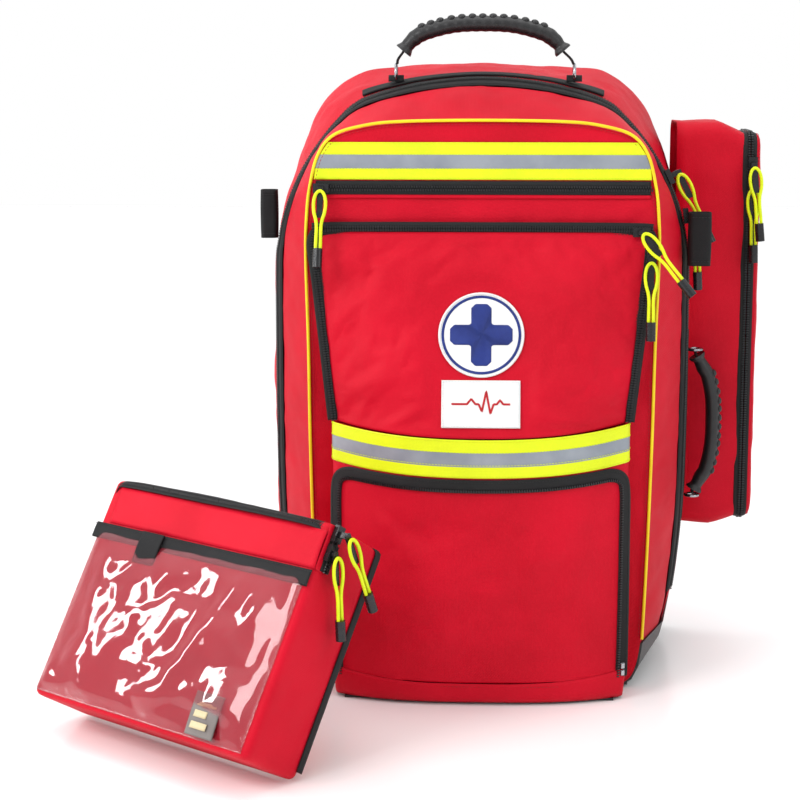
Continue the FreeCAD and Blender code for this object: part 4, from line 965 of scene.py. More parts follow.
put(disc("emblem_ground", 0.5, 39.6, 355, 1.7, PATCH, m=20, t=1.3), "pocket_front", "emblem_patch", slot="emblem_cloth")
put(disc("emblem_border", 38.2, 40.6, 355, 1.6, PATCH, m=7, dome=1.0, t=0.6), "pocket_front", slot="emblem_cloth")
put(disc("emblem_ring", 35.0, 37.6, 355, 1.9, BLUE, m=7, dome=0.5, t=0.5), "pocket_front", slot="emblem_cloth")
# plain rounded plus
pl = []
L_, Wd, rc = 29.5, 9.6, 4.0
corner = [(Wd, L_), (Wd, Wd), (L_, Wd)]
prof = []
for k in range(4):
    ca, sa = math.cos(-k * math.pi / 2), math.sin(-k * math.pi / 2)
    seq = [(-Wd, L_ - rc), (-Wd + rc, L_), (Wd - rc, L_), (Wd, L_ - rc), (Wd, Wd + 1.5), (Wd + 1.5, Wd)]
    prof += [(x * ca - z * sa, x * sa + z * ca) for x, z in seq]
prof = np.array(prof)
prof = resample(np.c_[prof, np.zeros(len(prof))], 1.6, closed=True)[:-1, :2]
rr = np.r_[0.001, np.linspace(0.15, 0.96, 7), 1.0]
A = prof[:, None, 0] * rr[None, :]
Bz = prof[:, None, 1] * rr[None, :]
dome = np.where(rr < 0.97, 0.45, 0.0)[None, :] + 0 * A
P = on_flap(A, Bz, 355, 1.75)
P = P - np.array([0, math.cos(TILT), -math.sin(TILT)]) * dome[..., None]
put(grid("emblem_plus", P, BLUE, cu=True, t=0.5, inside=(0, 0, 355)), "pocket_front", slot="emblem_cloth")

a = np.linspace(-37, 37, 50)
b = np.linspace(-22.5, 22.5, 32)
A, Bq = np.meshgrid(a, b, indexing="ij")
P = on_flap(A, Bq, 292, 1.6)
put(grid("name_patch_cloth", P, PATCH, t=1.1, inside=(0, 0, 292)), "pocket_front", "name_patch", slot="patch_white")
per = np.array([(-35.6, -21.2), (35.6, -21.2), (35.6, 21.2), (-35.6, 21.2), (-35.6, -21.2)])
per = resample(np.c_[per, np.zeros(5)], 2.6)
row_of("name_patch_stitches", on_flap(per[:, 0], per[:, 1], 292, 1.75), (0, -math.cos(TILT), math.sin(TILT)), 2.8, (1.9, 0.6, 0.35), 0.0, PATCH, "pocket_front")
REDTH = fabric("thread_patch_red", lin(190, 20, 34), lin(170, 12, 26), rough=0.6, pitch=0.0007, bump=0.8, twill=True)
pulse = np.array([(-27, 0), (-13, 0), (-9, 5), (-5, 0), (-2, 0), (1, -7), (5, 12), (9, -9), (12, 0), (15, 0), (18, 4), (21, 0), (27, 0)], float)
pu = resample(np.c_[pulse, np.zeros(len(pulse))], 0.8)
row_of("name_patch_line", on_flap(pu[:, 0], pu[:, 1], 292, 1.7), (0, -math.cos(TILT), math.sin(TILT)), 0.9, (1.1, 2.0, 0.4), 0.0, REDTH, "pocket_front")

# ----------------------------------------------------- lowest front pocket
zs = np.linspace(20.4, 261, 84)
P = np.stack([np.c_[tier_plan(z, 142.0, -100.4), np.full(184, z)] for z in zs], 1)
topk = np.clip((P[..., 2] - 190) / 60.0, 0, 1)
P[..., 2] = np.maximum(P[..., 2] + sag(P[..., 0]) * topk * (P[..., 1] < -112), fold_z(P[..., 1]) + 0.6)
front = (P[..., 1] < -116.5)
kx = np.clip((124 - np.abs(P[..., 0])) / 40, 0, 1)
kz = np.clip((P[..., 2] - 21) / 45, 0, 1) * np.clip((203 - P[..., 2]) / 30, 0, 1)
m_ = sstep(kx) * sstep(kz)
w = 2.0 + fbm(P, 70.0, 21.0) * 4.6 + fbm(P, 26.0, 2.9) * 0.8
w += crease(P, (-116, 198), (-54, 140), 10, 2.4) - crease(P, (-100, 198), (-60, 160), 7, 1.4) + crease(P, (114, 200), (62, 148), 10, 2.0) + crease(P, (110, 34), (50, 92), 12, 1.8) - crease(P, (116, 60), (84, 96), 8, 1.2)
P[..., 1] -= w * m_ * front
pk = grid("lower_pocket_fabric", P, RED, t=0.0, inside=(0, -100, 140))
a_ = coords_of(pk)
rim = (a_[:, 2] > 206) | (a_[:, 2] < 24) | (np.abs(a_[:, 0]) > 122) | (a_[:, 1] > -118)
cloth(pk, pin=rim.astype(float), pressure=1.5, grow=0.012, cap=5.0, sub=False)
thick(pk, 1.2)
put(pk, "lid", "lower_pocket", slot="fabric_red")
topf = []
for x in np.linspace(-139, 139, 60):
    yf = float(tier_y(np.array([x]), 262)[0]) + 1
    topf.append([[x, y, 260.6 + float(sag(np.array([x]))[0])] for y in np.linspace(yf, -100.4, 10)])
put(grid("lower_pocket_top_fabric", np.array(topf), RED, t=1.2, inside=(0, -120, 100)), "lid", slot="fabric_red")

# tape round the pocket's top
zs = np.linspace(224.5, 261.2, 25)
P = np.stack([np.c_[tier_plan(z, 142.9, -112.0, out=1.7), np.full(184, z)] for z in zs], 1)
P[..., 2] += sag(P[..., 0])
P[..., 1] += fbm(P, 50.0, 1.1) * 0.6
tape("lower_tape_band", P, "lid", "lower_reflective_tape", (0.31, 0.66))
for k, v in enumerate((1, 8, 16, 23)):
    ln = P[:, v].copy()
    nl = np.c_[np.gradient(ln[:, 1]), -np.gradient(ln[:, 0]), np.zeros(len(ln))]
    if nl[90, 1] > 0:
        nl = -nl
    row_of("lower_tape_stitch_%d" % k, ln, nl, 3.0, (2.0, 0.5, 0.3), 0.25, LIME, "lid")
xx = np.linspace(-112, 112, 60)
row_of("lower_pocket_edge_stitch", np.c_[xx, tier_y(xx, 222) - 0.9, 221.8 + sag(xx)], (0, -1, 0), 3.4, (2.3, 0.6, 0.35), 0.0, THREADB, "lid")

# half zip on the pocket's face
half = [(137.5, 24), (138.2, 60), (138.6, 110), (138.8, 160), (138.6, 198), (135.0, 210), (126, 215.5), (112, 216.5)]
pz = half + [(60, 216.5), (0, 216.5), (-60, 216.5)] + [(-x, z) for x, z in reversed(half)]
pz = catmull([(x, 0, z) for x, z in pz], 380)
pz[:, 1] = tier_y(pz[:, 0], pz[:, 2]) - 1.2
pz[:, 2] += sag(pz[:, 0]) * np.clip((pz[:, 2] - 120) / 90.0, 0, 1)
tg = tangents(pz)
gx = 3 * (25.0 + 17.0 * pz[:, 2] / 262.0) * (np.abs(pz[:, 0]) / 143.0) ** 2 / 143.0 * np.sign(pz[:, 0])
nn = np.c_[gx, -np.ones(len(pz)), np.zeros(len(pz))]
nn = nn / np.linalg.norm(nn, axis=1)[:, None]
wv = np.cross(tg, nn)
wvn = wv / np.linalg.norm(wv, axis=1)[:, None]
strip_on("panel_zip_tape", pz, wv, 13.0, ZTAPE, "lid", "panel_zip_half", "zip_black", t=1.1, bow=0.8, n=9, nrm=nn)
ins = np.sign(((np.array([0, -140, 110]) - pz) * wvn).sum(1))[:, None]
row_of("panel_zip_coil", pz + wvn * ins * 4.6 + nn * 0.7, nn, 2.4, (1.4, 3.0, 1.5), 0.0, COIL, "lid")
row_of("panel_zip_stitch", pz - wvn * ins * 3.8 + nn * 0.8, nn, 3.2, (2.1, 0.6, 0.3), 0.0, THREADB, "lid")
e_ = pz[2] + nn[2] * 1.2
row_of("panel_zip_stop", np.array([e_, e_ + [0, 0, 7.0]]), nn[2], 7.0, (6.0, 4.6, 1.4), 0.0, STEEL, "lid")


# ------------------------------------------------------------- side pouch
def rrect(y0, y1, z0, z1, r, n=140):
    """Rounded rectangle in (y, z), evenly spaced."""
    pts = []
    for cy, cz, a0 in ((y1 - r, z1 - r, 0), (y0 + r, z1 - r, 90), (y0 + r, z0 + r, 180), (y1 - r, z0 + r, 270)):
        for k in np.linspace(0, 90, 9):
            a = math.radians(a0 + k)
            pts.append((cy + r * math.cos(a), cz + r * math.sin(a), 0))
    return resample(pts, 1e9 if False else 1, closed=True)[np.linspace(0, int(2 * (y1 - y0 + z1 - z0) - 8 * r + 2 * math.pi * r) - 2, n).astype(int)][:, :2]


xs_ = [196, 206, 214, 222, 230, 238, 246, 254, 261, 266, 267.8]
cols = []
for x in xs_:
    k = np.clip((x - 238) / 30.0, 0, 1)
    b = 3.0 * math.sin(math.pi * np.clip((x - 206) / 62.0, 0, 1)) ** 0.8
    yz = rrect(40 - b, 117.5, 134 + 7 * k - b * 0.6, 550 - 3 * np.clip((x - 150) / 88, 0, 1) - 11 * k + b * 0.5, 15, 300)
    cols.append(np.c_[np.full(300, x), yz])
P = np.stack(cols, 1)
wv_ = fbm(P * np.array([1, 1, 0.7]), 48.0, 31.0) * 2.2 + fbm(P, 18.0, 6.1) * 0.5
kx = np.sin(np.pi * np.clip((P[..., 0] - 204) / 65.0, 0.0, 1)) ** 0.6
cen = np.array([0, 79.0, 340.0])
nrm3 = P - cen
nrm3[..., 0] = 0
nrm3[..., 2] = np.where(np.abs(nrm3[..., 2]) > 195, nrm3[..., 2], 0)
nrm3[..., 1] = np.where(np.abs(P[..., 2] - 342) < 192, nrm3[..., 1], 0)
nrm3 = nrm3 / np.maximum(np.linalg.norm(nrm3, axis=-1), 1e-6)[..., None]
back = (P[..., 1] > 110)
P += nrm3 * (wv_ * kx * ~back)[..., None]
sp = grid("side_pouch_fabric", P, RED, cu=True, t=1.1, inside=(236, 79, 340))
rest = np.array([v.co for v in sp.data.vertices])
put(sp, "pack", "side_pouch_body", slot="fabric_red")
tp = P[:, -1]
def loop_strip(name, path, x0, x1, mat, body, node_=None, slot=None, bow=0.5, t=0.9, nu=9):
    c = path[:, 1:].mean(0)
    out = []
    for k in np.linspace(0, 1, nu):
        q = path.copy()
        q[:, 0] = x0 + (x1 - x0) * k
        d = q[:, 1:] - c
        d = d / np.linalg.norm(d, axis=1)[:, None]
        q[:, 1:] += d * bow * math.sin(math.pi * k)
        out.append(q)
    o = grid(name, np.stack(out, 1), mat, cu=True, t=t, inside=(x0, c[0], c[1]))
    if body:
        put(o, body, *([node_] if node_ else []), slot=slot)
    return o


ring_ = rrect(39.4, 117.5, 140.5, 536.6, 14, 300)
path = np.c_[np.full(300, 268.0), ring_]
loop_strip("side_zip_tape_body", path, 262.5, 269.9, ZTAPE, "pack", "side_pouch_zip_body", "zip_black", bow=1.3)
loop_strip("side_zip_tape_cover", path, 270.3, 276.5, ZTAPE, "side_cover", "side_pouch_lid", "zip_black", bow=1.2)
front_run = path[(path[:, 1] < 106)]
# order the open run from the back top, round the front, to the back bottom
ang = np.unwrap(np.arctan2(front_run[:, 2] - 338, front_run[:, 1] - 78.5))
i0 = int(np.argmax(np.linalg.norm(np.roll(front_run, -1, 0) - front_run, axis=1))) + 1
front_run = np.roll(front_run, -i0, 0)
nr = front_run - np.array([268.0, 78.5, 338.0])
nr[:, 0] = 0
nr[:, 2] = np.where(np.abs(nr[:, 2]) > 180, nr[:, 2], 0)
nr[np.abs(nr).sum(1) == 0] = (0, -1, 0)
nr = nr / np.linalg.norm(nr, axis=1)[:, None]
for dx, nm, bd in ((-1.5, "body", "pack"), (1.6, "cover", "side_cover")):
    row_of("side_zip_coil_" + nm, front_run + nr * 1.2 + [2.1 + dx, 0, 0], nr, 2.5, (1.4, 2.7, 1.4), 0.0, COIL, bd)
cols = []
for k, (x, ins_) in enumerate([(275.6, 0.2), (277.4, -0.2), (279.4, 1.6), (280.8, 4.0), (281.6, 7.5)] + [(281.9, v) for v in np.linspace(12, 38.745, 14)]):
    r_ = min(max(14 - ins_ * 0.6, 1.2), 0.49 * (77.5 - 2 * ins_))
    yz = rrect(40 + ins_, 117.5 - ins_, 141 + ins_, 536 - ins_, min(r_, 37), 300)
    q = np.c_[np.full(300, x), yz]
    cols.append(q)
P = np.stack(cols, 1)
P[..., 0] += (fbm(P, 46.0, 41.0) * 1.3 + 1.2) * np.clip((P[..., 0] - 279) / 2.5, 0, 1) - 1.2 * np.clip((P[..., 0] - 279) / 2.5, 0, 1)
cv = grid("side_cover_fabric", P, RED, cu=True, inside=(200, 79, 340))
put(cv, "side_cover", slot="fabric_red")
row_of("side_cover_stitch", np.c_[np.full(300, 278.6), rrect(40.2, 117.3, 141.2, 535.8, 14, 300)][::1], np.array([1.0, 0, 0]), 3.4, (2.3, 0.5, 0.3), 0.0, THREADM, "side_cover")
# ------------------------------------------------------------ carry handles
gp = catmull([(-79, 4, 618.5), (-70, 4, 629), (-58, 4, 636.4), (-30, 4, 643.6), (0, 4, 645.2), (30, 4, 643.6), (58, 4, 636.4), (70, 4, 629), (79, 4, 618.5)], 140)
k = np.linspace(-1, 1, 140)
rad = 9.4 - 1.6 * np.clip((np.abs(k) - 0.80) / 0.12, 0, 1) + 3.0 * np.clip((np.abs(k) - 0.93) / 0.05, 0, 1) + 0.25 * np.sin(k * 60)
tg_ = tube("top_grip_rubber", gp, rad, RUBBER, n=26, squish=(0.82, 1.0))
put(tg_, "top_handle", "top_handle_grip", slot="rubber_black")


def nubs(name, path, side, rad, count, lo_, hi_, body, sz=(4.2, 6.5, 3.2)):
    """Rounded grip ribs along a handle."""
    V, F = [], []
    p = np.asarray(path, float)
    T = tangents(p)
    T = T / np.linalg.norm(T, axis=1)[:, None]
    for j in range(count):
        f = lo_ + (hi_ - lo_) * j / (count - 1)
        i = int(f * (len(p) - 1))
        t_, s_ = T[i], np.asarray(side, float)
        o_ = np.cross(t_, s_)
        if (o_ * NUB_OUT[name]).sum() < 0:
            o_ = -o_
        c = p[i] + o_ * (rad - 0.6)
        base = len(V)
        for a in range(7):
            th = math.pi * a / 6
            for b_ in range(12):
                ph = 2 * math.pi * b_ / 12
                V.append(c + t_ * (sz[0] * math.sin(th) * math.cos(ph)) + s_ * (sz[1] * math.sin(th) * math.sin(ph)) + o_ * sz[2] * math.cos(th))
        for a in range(6):
            for b_ in range(12):
                F.append((base + a * 12 + b_, base + a * 12 + (b_ + 1) % 12, base + (a + 1) * 12 + (b_ + 1) % 12, base + (a + 1) * 12 + b_))
    o = mesh_obj(name, V, F, RUBBER)
    put(o, body, slot="rubber_black")
    return o


NUB_OUT = {"top_grip_ribs": np.array([0, 0, 1.0]), "side_grip_ribs": np.array([1.0, 0, 0])}
nubs("top_grip_ribs", gp, (0, 1, 0), 7.6, 13, 0.16, 0.84, "top_handle")
for sgn, X0 in ((-1, -86.0), (1, 90.0)):
    a = np.array([X0, 4, 606.2])
    b = np.array([79.4 * sgn, 4, 619.0])
    pth = catmull([a, a * 0.6 + b * 0.4 + [1.5 * sgn, 0, 0], b], 20)
    tt = tangents(pth)
    nn_ = np.cross(tt, (0, 1, 0))
    strip_on("top_handle_tape_%s" % ("left" if sgn < 0 else "right"), pth, (0, 1, 0), 17, BLACK, "top_handle", "top_handle_webbing", "webbing_black", t=2.0, bow=0.0, nrm=nn_, rip=0.1, inside=(0, 4, 600))

sg = catmull([(217.5, 6, 316), (224, 6, 304), (229.5, 6, 294), (234, 6, 272), (235, 6, 247), (234, 6, 222), (229.5, 6, 200), (224, 6, 190), (217.5, 6, 178)], 130)
k = np.linspace(-1, 1, 130)
rad = 8.6 - 1.4 * np.clip((np.abs(k) - 0.80) / 0.12, 0, 1) + 3.2 * np.clip((np.abs(k) - 0.93) / 0.05, 0, 1)
put(tube("side_grip_rubber", sg, rad, RUBBER, n=26, squish=(0.82, 1.0)), "side_handle", "side_handle_grip", slot="rubber_black")
nubs("side_grip_ribs", sg, (0, 1, 0), 7.0, 12, 0.17, 0.83, "side_handle", sz=(4.0, 6.0, 3.0))
for nm, za, zb in (("top", 320.0, 314.0), ("low", 174.0, 180.0)):
    pth = np.linspace((216.8, 6, za), (217.8, 6, zb), 8)
    strip_on("side_handle_tape_" + nm, pth, (0, 1, 0), 15, BLACK, "side_handle", "side_handle_webbing", "webbing_black", t=1.8, bow=0.0, nrm=(1, 0, 0), rip=0.0, inside=(200, 6, 247))


def crown_strip(name, xa, xb, y0, y1, lift, side=False):
    """Webbing sewn over the shell just behind the zip."""
    tt = np.linspace(0, len(FZ) - 1, 4000)
    q = outline(4, tt)
    sel = (np.abs(q[:, 0] - 0) < 118.5) & (q[:, 1] > 500) if not side else (q[:, 0] > 0) & (q[:, 1] > 150) & (q[:, 1] < 344)
    tt = tt[sel]
    tt = np.linspace(tt[0], tt[-1], 110)
    return ring(np.linspace(y0, y1, 9), [lift] * 9, t=tt)


P = crown_strip("c", 0, 0, -3.5, 16, 3.6)
o = grid("crown_webbing", P, BLACK, t=1.8, inside=(0, 5, 300))
put(o, "pack", "handle_straps", slot="webbing_black")
P = crown_strip("s", 0, 0, -5.5, 15, 3.2, True)
put(grid("side_webbing", P, BLACK, t=1.8, inside=(0, 5, 300)), "pack", slot="webbing_black")
for k_, xc in enumerate((-86.0, 90.0)):
    th = np.linspace(0, 2 * math.pi, 40)
    zc = 592.6
    pth = np.c_[np.full(40, xc), 4 + 0 * th, zc + 0 * th]
    arcp = np.array([[xc, 4 + 5.4 * math.cos(t_), zc - 2.4 + 5.0 * max(-0.35, math.sin(t_))] for t_ in np.linspace(-0.3, math.pi + 0.3, 26)])
    tt = tangents(arcp)
    nn_ = arcp - arcp.mean(0)
    strip_on("ring_tab_%d" % k_, arcp, (1, 0, 0), 15, BLACK, "pack", slot="webbing_black", t=1.4, bow=0.0, nrm=nn_, rip=0.0, inside=arcp.mean(0) - [0, 0, 1])

# ------------------------------------------------------------- webbing loops
def loop_band(name, x0, x1, y0, y1, z0, z1, body, node_, bulge):
    r = 4.5
    pts = []
    for cx, cy, a0 in ((x1 - r, y1 - r, 0), (x0 + r, y1 - r, 90), (x0 + r, y0 + r, 180), (x1 - r, y0 + r, 270)):
        for k in np.linspace(0, 90, 7):
            a = math.radians(a0 + k)
            pts.append((cx + r * math.cos(a), cy + r * math.sin(a), 0))
    pl_ = np.array(pts)
    zs = np.linspace(z0, z1, 22)
    c = pl_.mean(0)
    cols = []
    for z in zs:
        kk = math.sin(math.pi * (z - z0) / (z1 - z0))
        q = pl_.copy()
        q[:, 2] = z
        q[:, :2] += (q[:, :2] - c[:2]) * 0.05 * bulge * kk
        cols.append(q)
    P = np.stack(cols, 1)
    P[..., 1] += fbm(P, 25.0, 2.0) * 0.5
    o = grid(name, P, BLACK, cu=True, t=1.8, inside=(c[0], c[1], (z0 + z1) / 2))
    put(o, body, node_, slot="webbing_black")


loop_band("loop_right_webbing", 201.6, 223, -50, -33.6, 412, 464, "lid", "webbing_loop_right", 1)
loop_band("loop_left_webbing", -221.5, -204.8, -7, 9, 434, 482, "pack", "webbing_loop_left", 1)
for nm, bx, by, z0, z1, bd in (("right", (201.8, 222.6), -50.4, 416.5, 459.5, "lid"), ("left", (-221, -205.2), -7.3, 438.5, 477.5, "pack")):
    for kk, z in enumerate((z0, z1)):
        row_of("loop_%s_stitch_%d" % (nm, kk), np.array([[x, by, z] for x in np.linspace(bx[0] + 3, bx[1] - 3, 12)]), (0, -1, 0), 2.8, (1.9, 0.6, 0.4), 0.0, THREADB, bd)

# ------------------------------------------------------- detached window pouch
from mathutils import Matrix

PM = Matrix.Translation(Vector((-0.264, -0.288, 0))) @ Matrix.Rotation(math.radians(-38.4), 4, "Z") @ Matrix.Rotation(math.radians(-31), 4, "X")
PW, PL, PD, SL = 138.0, 214.0, 74.0, 44.0


def place(o, body, *nodes, slot=None):
    o.data.transform(PM)
    o.data.update()
    return put(o, body, *nodes, slot=slot)


def soft_box(name, x0, x1, y0, y1, z0, z1, r, mat, step=5.0, skip=None):
    """A box with rounded edges, all quads, closed."""
    import bmesh
    n = [max(3, int((b - a) / step)) for a, b in ((x0, x1), (y0, y1), (z0, z1))]
    c = np.array([(x0 + x1) / 2, (y0 + y1) / 2, (z0 + z1) / 2])
    h = np.array([(x1 - x0) / 2, (y1 - y0) / 2, (z1 - z0) / 2])
    bm = bmesh.new()
    vid = {}
    uvs = {}

    def vert(i, j, k):
        key = (i, j, k)
        if key not in vid:
            p = np.array([-1 + 2 * i / n[0], -1 + 2 * j / n[1], -1 + 2 * k / n[2]]) * h
            inner = np.clip(p, -(h - r), h - r)
            d = p - inner
            L = np.linalg.norm(d)
            q = inner + (d / L * r if L > 1e-9 else 0)
            vid[key] = bm.verts.new((q + c) * MM)
        return vid[key]

    faces = []
    for ax in range(3):
        u, v = [(1, 2), (0, 2), (0, 1)][ax]
        for s in (0, n[ax]):
            for a in range(n[u]):
                for b in range(n[v]):
                    idx = []
                    for da, db in ((0, 0), (1, 0), (1, 1), (0, 1)):
                        k = [0, 0, 0]
                        k[ax] = s
                        k[u] = a + da
                        k[v] = b + db
                        idx.append(vert(*k))
                    faces.append((bm.faces.new(idx), u, v))
    lay = bm.loops.layers.uv.new("UVMap")
    for f, u, v in faces:
        for lp in f.loops:
            lp[lay].uv = (lp.vert.co[u], lp.vert.co[v])
    bmesh.ops.recalc_face_normals(bm, faces=bm.faces)
    me = bpy.data.meshes.new(name)
    bm.to_mesh(me)
    bm.free()
    me.polygons.foreach_set("use_smooth", [True] * len(me.polygons))
    o = link(bpy.data.objects.new(name, me))
    me.materials.append(mat)
    return o


def coords(o):
    a = np.zeros(len(o.data.vertices) * 3, np.float32)
    o.data.vertices.foreach_get("co", a)
    return a.reshape(-1, 3).astype(float) / MM


def set_coords(o, a):
    o.data.vertices.foreach_set("co", (np.asarray(a) * MM).astype(np.float32).ravel())
    o.data.update()


pb = soft_box("pouch_fabric", -PW, PW, -PD + 0.5, 0, 0, PL, 7, RED, 4.6)
a = coords(pb)
w = fbm(a, 52.0, 51.0) * 2.0 + fbm(a, 20.0, 2.8) * 0.4
fr = (a[:, 1] < -PD + 4)
kx = np.clip((PW - np.abs(a[:, 0])) / 45, 0, 1)
kz = np.clip(a[:, 2] / 45, 0, 1) * np.clip((PL - SL - 6 - a[:, 2]) / 30, 0, 1)
a[:, 1] -= (sstep(kx) * sstep(kz) * (5.0 + w * 1.3)) * fr
low_front = (a[:, 2] < 30) & fr
sd = (np.abs(a[:, 0]) > PW - 4)
ky = np.clip(-a[:, 1] / 20, 0, 1) * np.clip((PD + a[:, 1]) / 20, 0, 1) * np.clip(a[:, 2] / 40, 0, 1) * np.clip((PL - a[:, 2]) / 40, 0, 1)
a[:, 0] += np.sign(a[:, 0]) * (w * 0.8 + 0.6) * ky * sd * (a[:, 0] < 0) + np.sign(a[:, 0]) * w * 0.8 * ky * sd * (a[:, 0] > 0)
set_coords(pb, a)
fill = np.clip(np.minimum(PW - np.abs(a[:, 0]), np.minimum(a[:, 2], PL - a[:, 2])) / 30, 0.05, 1)
hold = ((a[:, 1] > -1.0) | (a[:, 2] > PL - SL - 10) | (a[:, 2] < 4) | (np.abs(a[:, 0]) > PW - 3)).astype(float)
cloth(pb, pin=hold, pressure=4.0, cap=4.0, sub=False)
ptree = bvh(pb)
# the top strip with its zip runs over the body's shoulder
place(pb, "window_pouch", "pouch_body", slot="fabric_red")

fx = np.linspace(-PW + 3, PW - 6, 110)
fz = np.linspace(4, PL - SL - 6, 74)
X, Z = np.meshgrid(fx, fz, indexing="ij")
P = np.stack([X, np.full_like(X, -PD), Z], -1)
P = drape(P, ptree, (0, 1, 0), 0.9)
nx_, nz_ = X / PW, (Z - 82) / 82
film_w = 2.0 * np.exp(-((X + 92 + (Z - 80) * 0.28) / 13) ** 2) + 2.6 * np.exp(-((X - 36 - (Z - 60) * 0.42) / 12) ** 2) * np.clip(Z / 60, 0, 1) + 1.5 * np.exp(-((Z - 26 - 10 * np.sin(X / 40)) / 9) ** 2) + 1.2 * np.exp(-((Z - 52 + 0.1 * X) / 12) ** 2)
film_w += np.abs(fbm(P, 74.0, 61.0)) * 3.4 + fbm(P, 34.0, 9.0) * 0.35 + 0.6
eg = np.clip((PW - 3 - np.abs(X)) / 12, 0, 1) * np.clip((Z - 4) / 10, 0, 1) * np.clip((PL - SL - 6 - Z) / 10, 0, 1)
P[..., 1] -= film_w * sstep(eg)
film = grid("window_film_sheet", P, FILM, inside=(0, -30, 80))
thick(film, 0.35)
place(film, "window_pouch", "window_film", slot="film_clear")

# twill band over the film's top edge, its tab, and stitches
bx = np.linspace(-PW - 0.5, PW - 1, 110)
path = np.c_[bx, np.full(110, -PD - 1.2), np.full(110, PL - SL - 8.5)]
path = drape(path, ptree, (0, 1, 0), 2.0)
path[:, 1] = np.minimum(path[:, 1], -PD - 1.4)
wb = strip_on("window_band_twill", path, (0, 0, 1), 15, BLACK, None, t=1.2, bow=0.5, inside=(0, -20, 160))
place(wb, "window_pouch", "window_band", slot="webbing_black")
for kk, dz in enumerate((-5.8, 5.8)):
    st = row_of("window_band_stitch_%d" % kk, path + [0, -0.6, dz], (0, -1, 0), 3.2, (2.1, 0.6, 0.3), 0.0, THREADB, None)
    place(st, "window_pouch", slot="webbing_black")
tz_ = np.linspace(138.5, 169, 16)
tb = np.array([[[x, -PD - 4.6 - 0.9 * math.sin(math.pi * (z - 138) / 31), z] for z in tz_] for x in np.linspace(-72, -44, 14)])
o = grid("window_band_tab", tb, BLACK, t=1.3, inside=(-58, -60, 150))
place(o, "window_pouch", slot="webbing_black")

# label, plain
LBL = plain("label_grey", lin(120, 112, 108), lin(96, 88, 86), 0.5, scale=120)
LBT = fabric("label_stitch", lin(216, 200, 160), lin(196, 178, 140), rough=0.6, pitch=0.0009, bump=0.5, uv=False)
lx, lz = np.linspace(68, 101, 20), np.linspace(6, 44, 22)
X, Z = np.meshgrid(lx, lz, indexing="ij")
P = drape(np.stack([X, np.full_like(X, -PD), Z], -1), ptree, (0, 1, 0), 4.4)
P[..., 1] = P[..., 1].mean() * 0.6 + P[..., 1] * 0.4
lb = grid("pouch_label_cloth", P, LBL, t=0.9, inside=(84, -30, 25))
place(lb, "window_pouch", "pouch_label", slot="patch_white")
yl = float(P[..., 1].mean()) - 0.3
for kk, (x0, x1, z0, z1) in enumerate(((73, 96, 32, 39), (73, 88, 22, 28), (73, 92, 12, 18))):
    X, Z = np.meshgrid(np.linspace(x0, x1, 8), np.linspace(z0, z1, 4), indexing="ij")
    o = grid("pouch_label_bar_%d" % kk, np.stack([X, np.full_like(X, yl - 0.4), Z], -1), LBT, t=0.4, inside=(84, -30, 25))
    place(o, "window_pouch", slot="patch_white")

# opening strip: front strip, zip and top edge
s0 = PL - SL + 0.6
prof = []
for z in np.linspace(s0, PL - 8.5, 11):
    prof.append((-PD - 0.6 - 1.6 * math.sin(math.pi * (z - s0) / (PL - s0)), z))
prof = np.array(prof)
fx = np.linspace(-PW + 14, PW - 0.5, 70)
P = np.array([[[x, y, z] for y, z in prof] for x in fx])
P[..., 1] -= fbm(P, 34.0, 71.0) * 0.6
P[-1, :, 0] = PW
stp = grid("pouch_strip_fabric", P, RED, t=1.0, inside=(0, -30, 190))
place(stp, "window_pouch_flap", "pouch_flap", slot="fabric_red")
sdp = np.array([[[PW + 0.5, y, z] for y in np.linspace(-PD + 0.5, -PD + 9.2, 5)] for z in np.linspace(s0, PL - 2, 12)])
o = grid("pouch_strip_side", sdp, RED, t=0.9, inside=(0, -60, 190))
place(o, "window_pouch_flap", slot="fabric_red")
ctl = [(-PW + 4, -PD + 6, PL - 14, -0.8, -0.4, 0.4), (-PW + 9, -PD + 2.5, PL - 6.5, -0.4, -0.7, 0.6), (-PW + 22, -PD + 1.2, PL - 4.2, 0, -0.8, 0.6),
       (-60, -PD + 0.8, PL - 3.6, 0, -0.8, 0.6), (0, -PD + 0.6, PL - 3.4, 0, -0.8, 0.6), (60, -PD + 0.8, PL - 3.6, 0, -0.8, 0.6),
       (PW - 24, -PD + 1.4, PL - 4.2, 0.1, -0.8, 0.6), (PW - 9, -PD + 3.6, PL - 5.8, 0.4, -0.6, 0.6), (PW - 0.5, -PD + 8.2, PL - 9.5, 0.85, -0.3, 0.35),
       (PW + 1.0, -PD + 11.2, PL - 20, 1, -0.1, 0), (PW + 1.0, -PD + 12.0, PL - 32, 1, 0, 0), (PW + 1.0, -PD + 12.4, s0, 1, 0, 0)]
ctl = np.array(ctl, float)
zc = catmull(ctl[:, :3], 240)
nn_ = catmull(ctl[:, 3:], 240)
zc[:, 2] += 0.9
nn_ = nn_ / np.linalg.norm(nn_, axis=1)[:, None]
zw = np.cross(tangents(zc), nn_)
zw = zw / np.linalg.norm(zw, axis=1)[:, None]
zt = strip_on("pouch_zip_tape", zc, zw, 11.5, ZTAPE, None, t=0.9, bow=0.7, nrm=nn_, inside=(0, -40, 150), n=9)
place(zt, "window_pouch", "pouch_zip", slot="zip_black")
for kk, dy in enumerate((-1.4, 1.4)):
    o = row_of("pouch_zip_coil_%d" % kk, zc + nn_ * 0.9 + zw * dy, nn_, 2.4, (1.4, 2.6, 1.3), 0.0, COIL, None)
    place(o, "window_pouch", slot="zip_black")
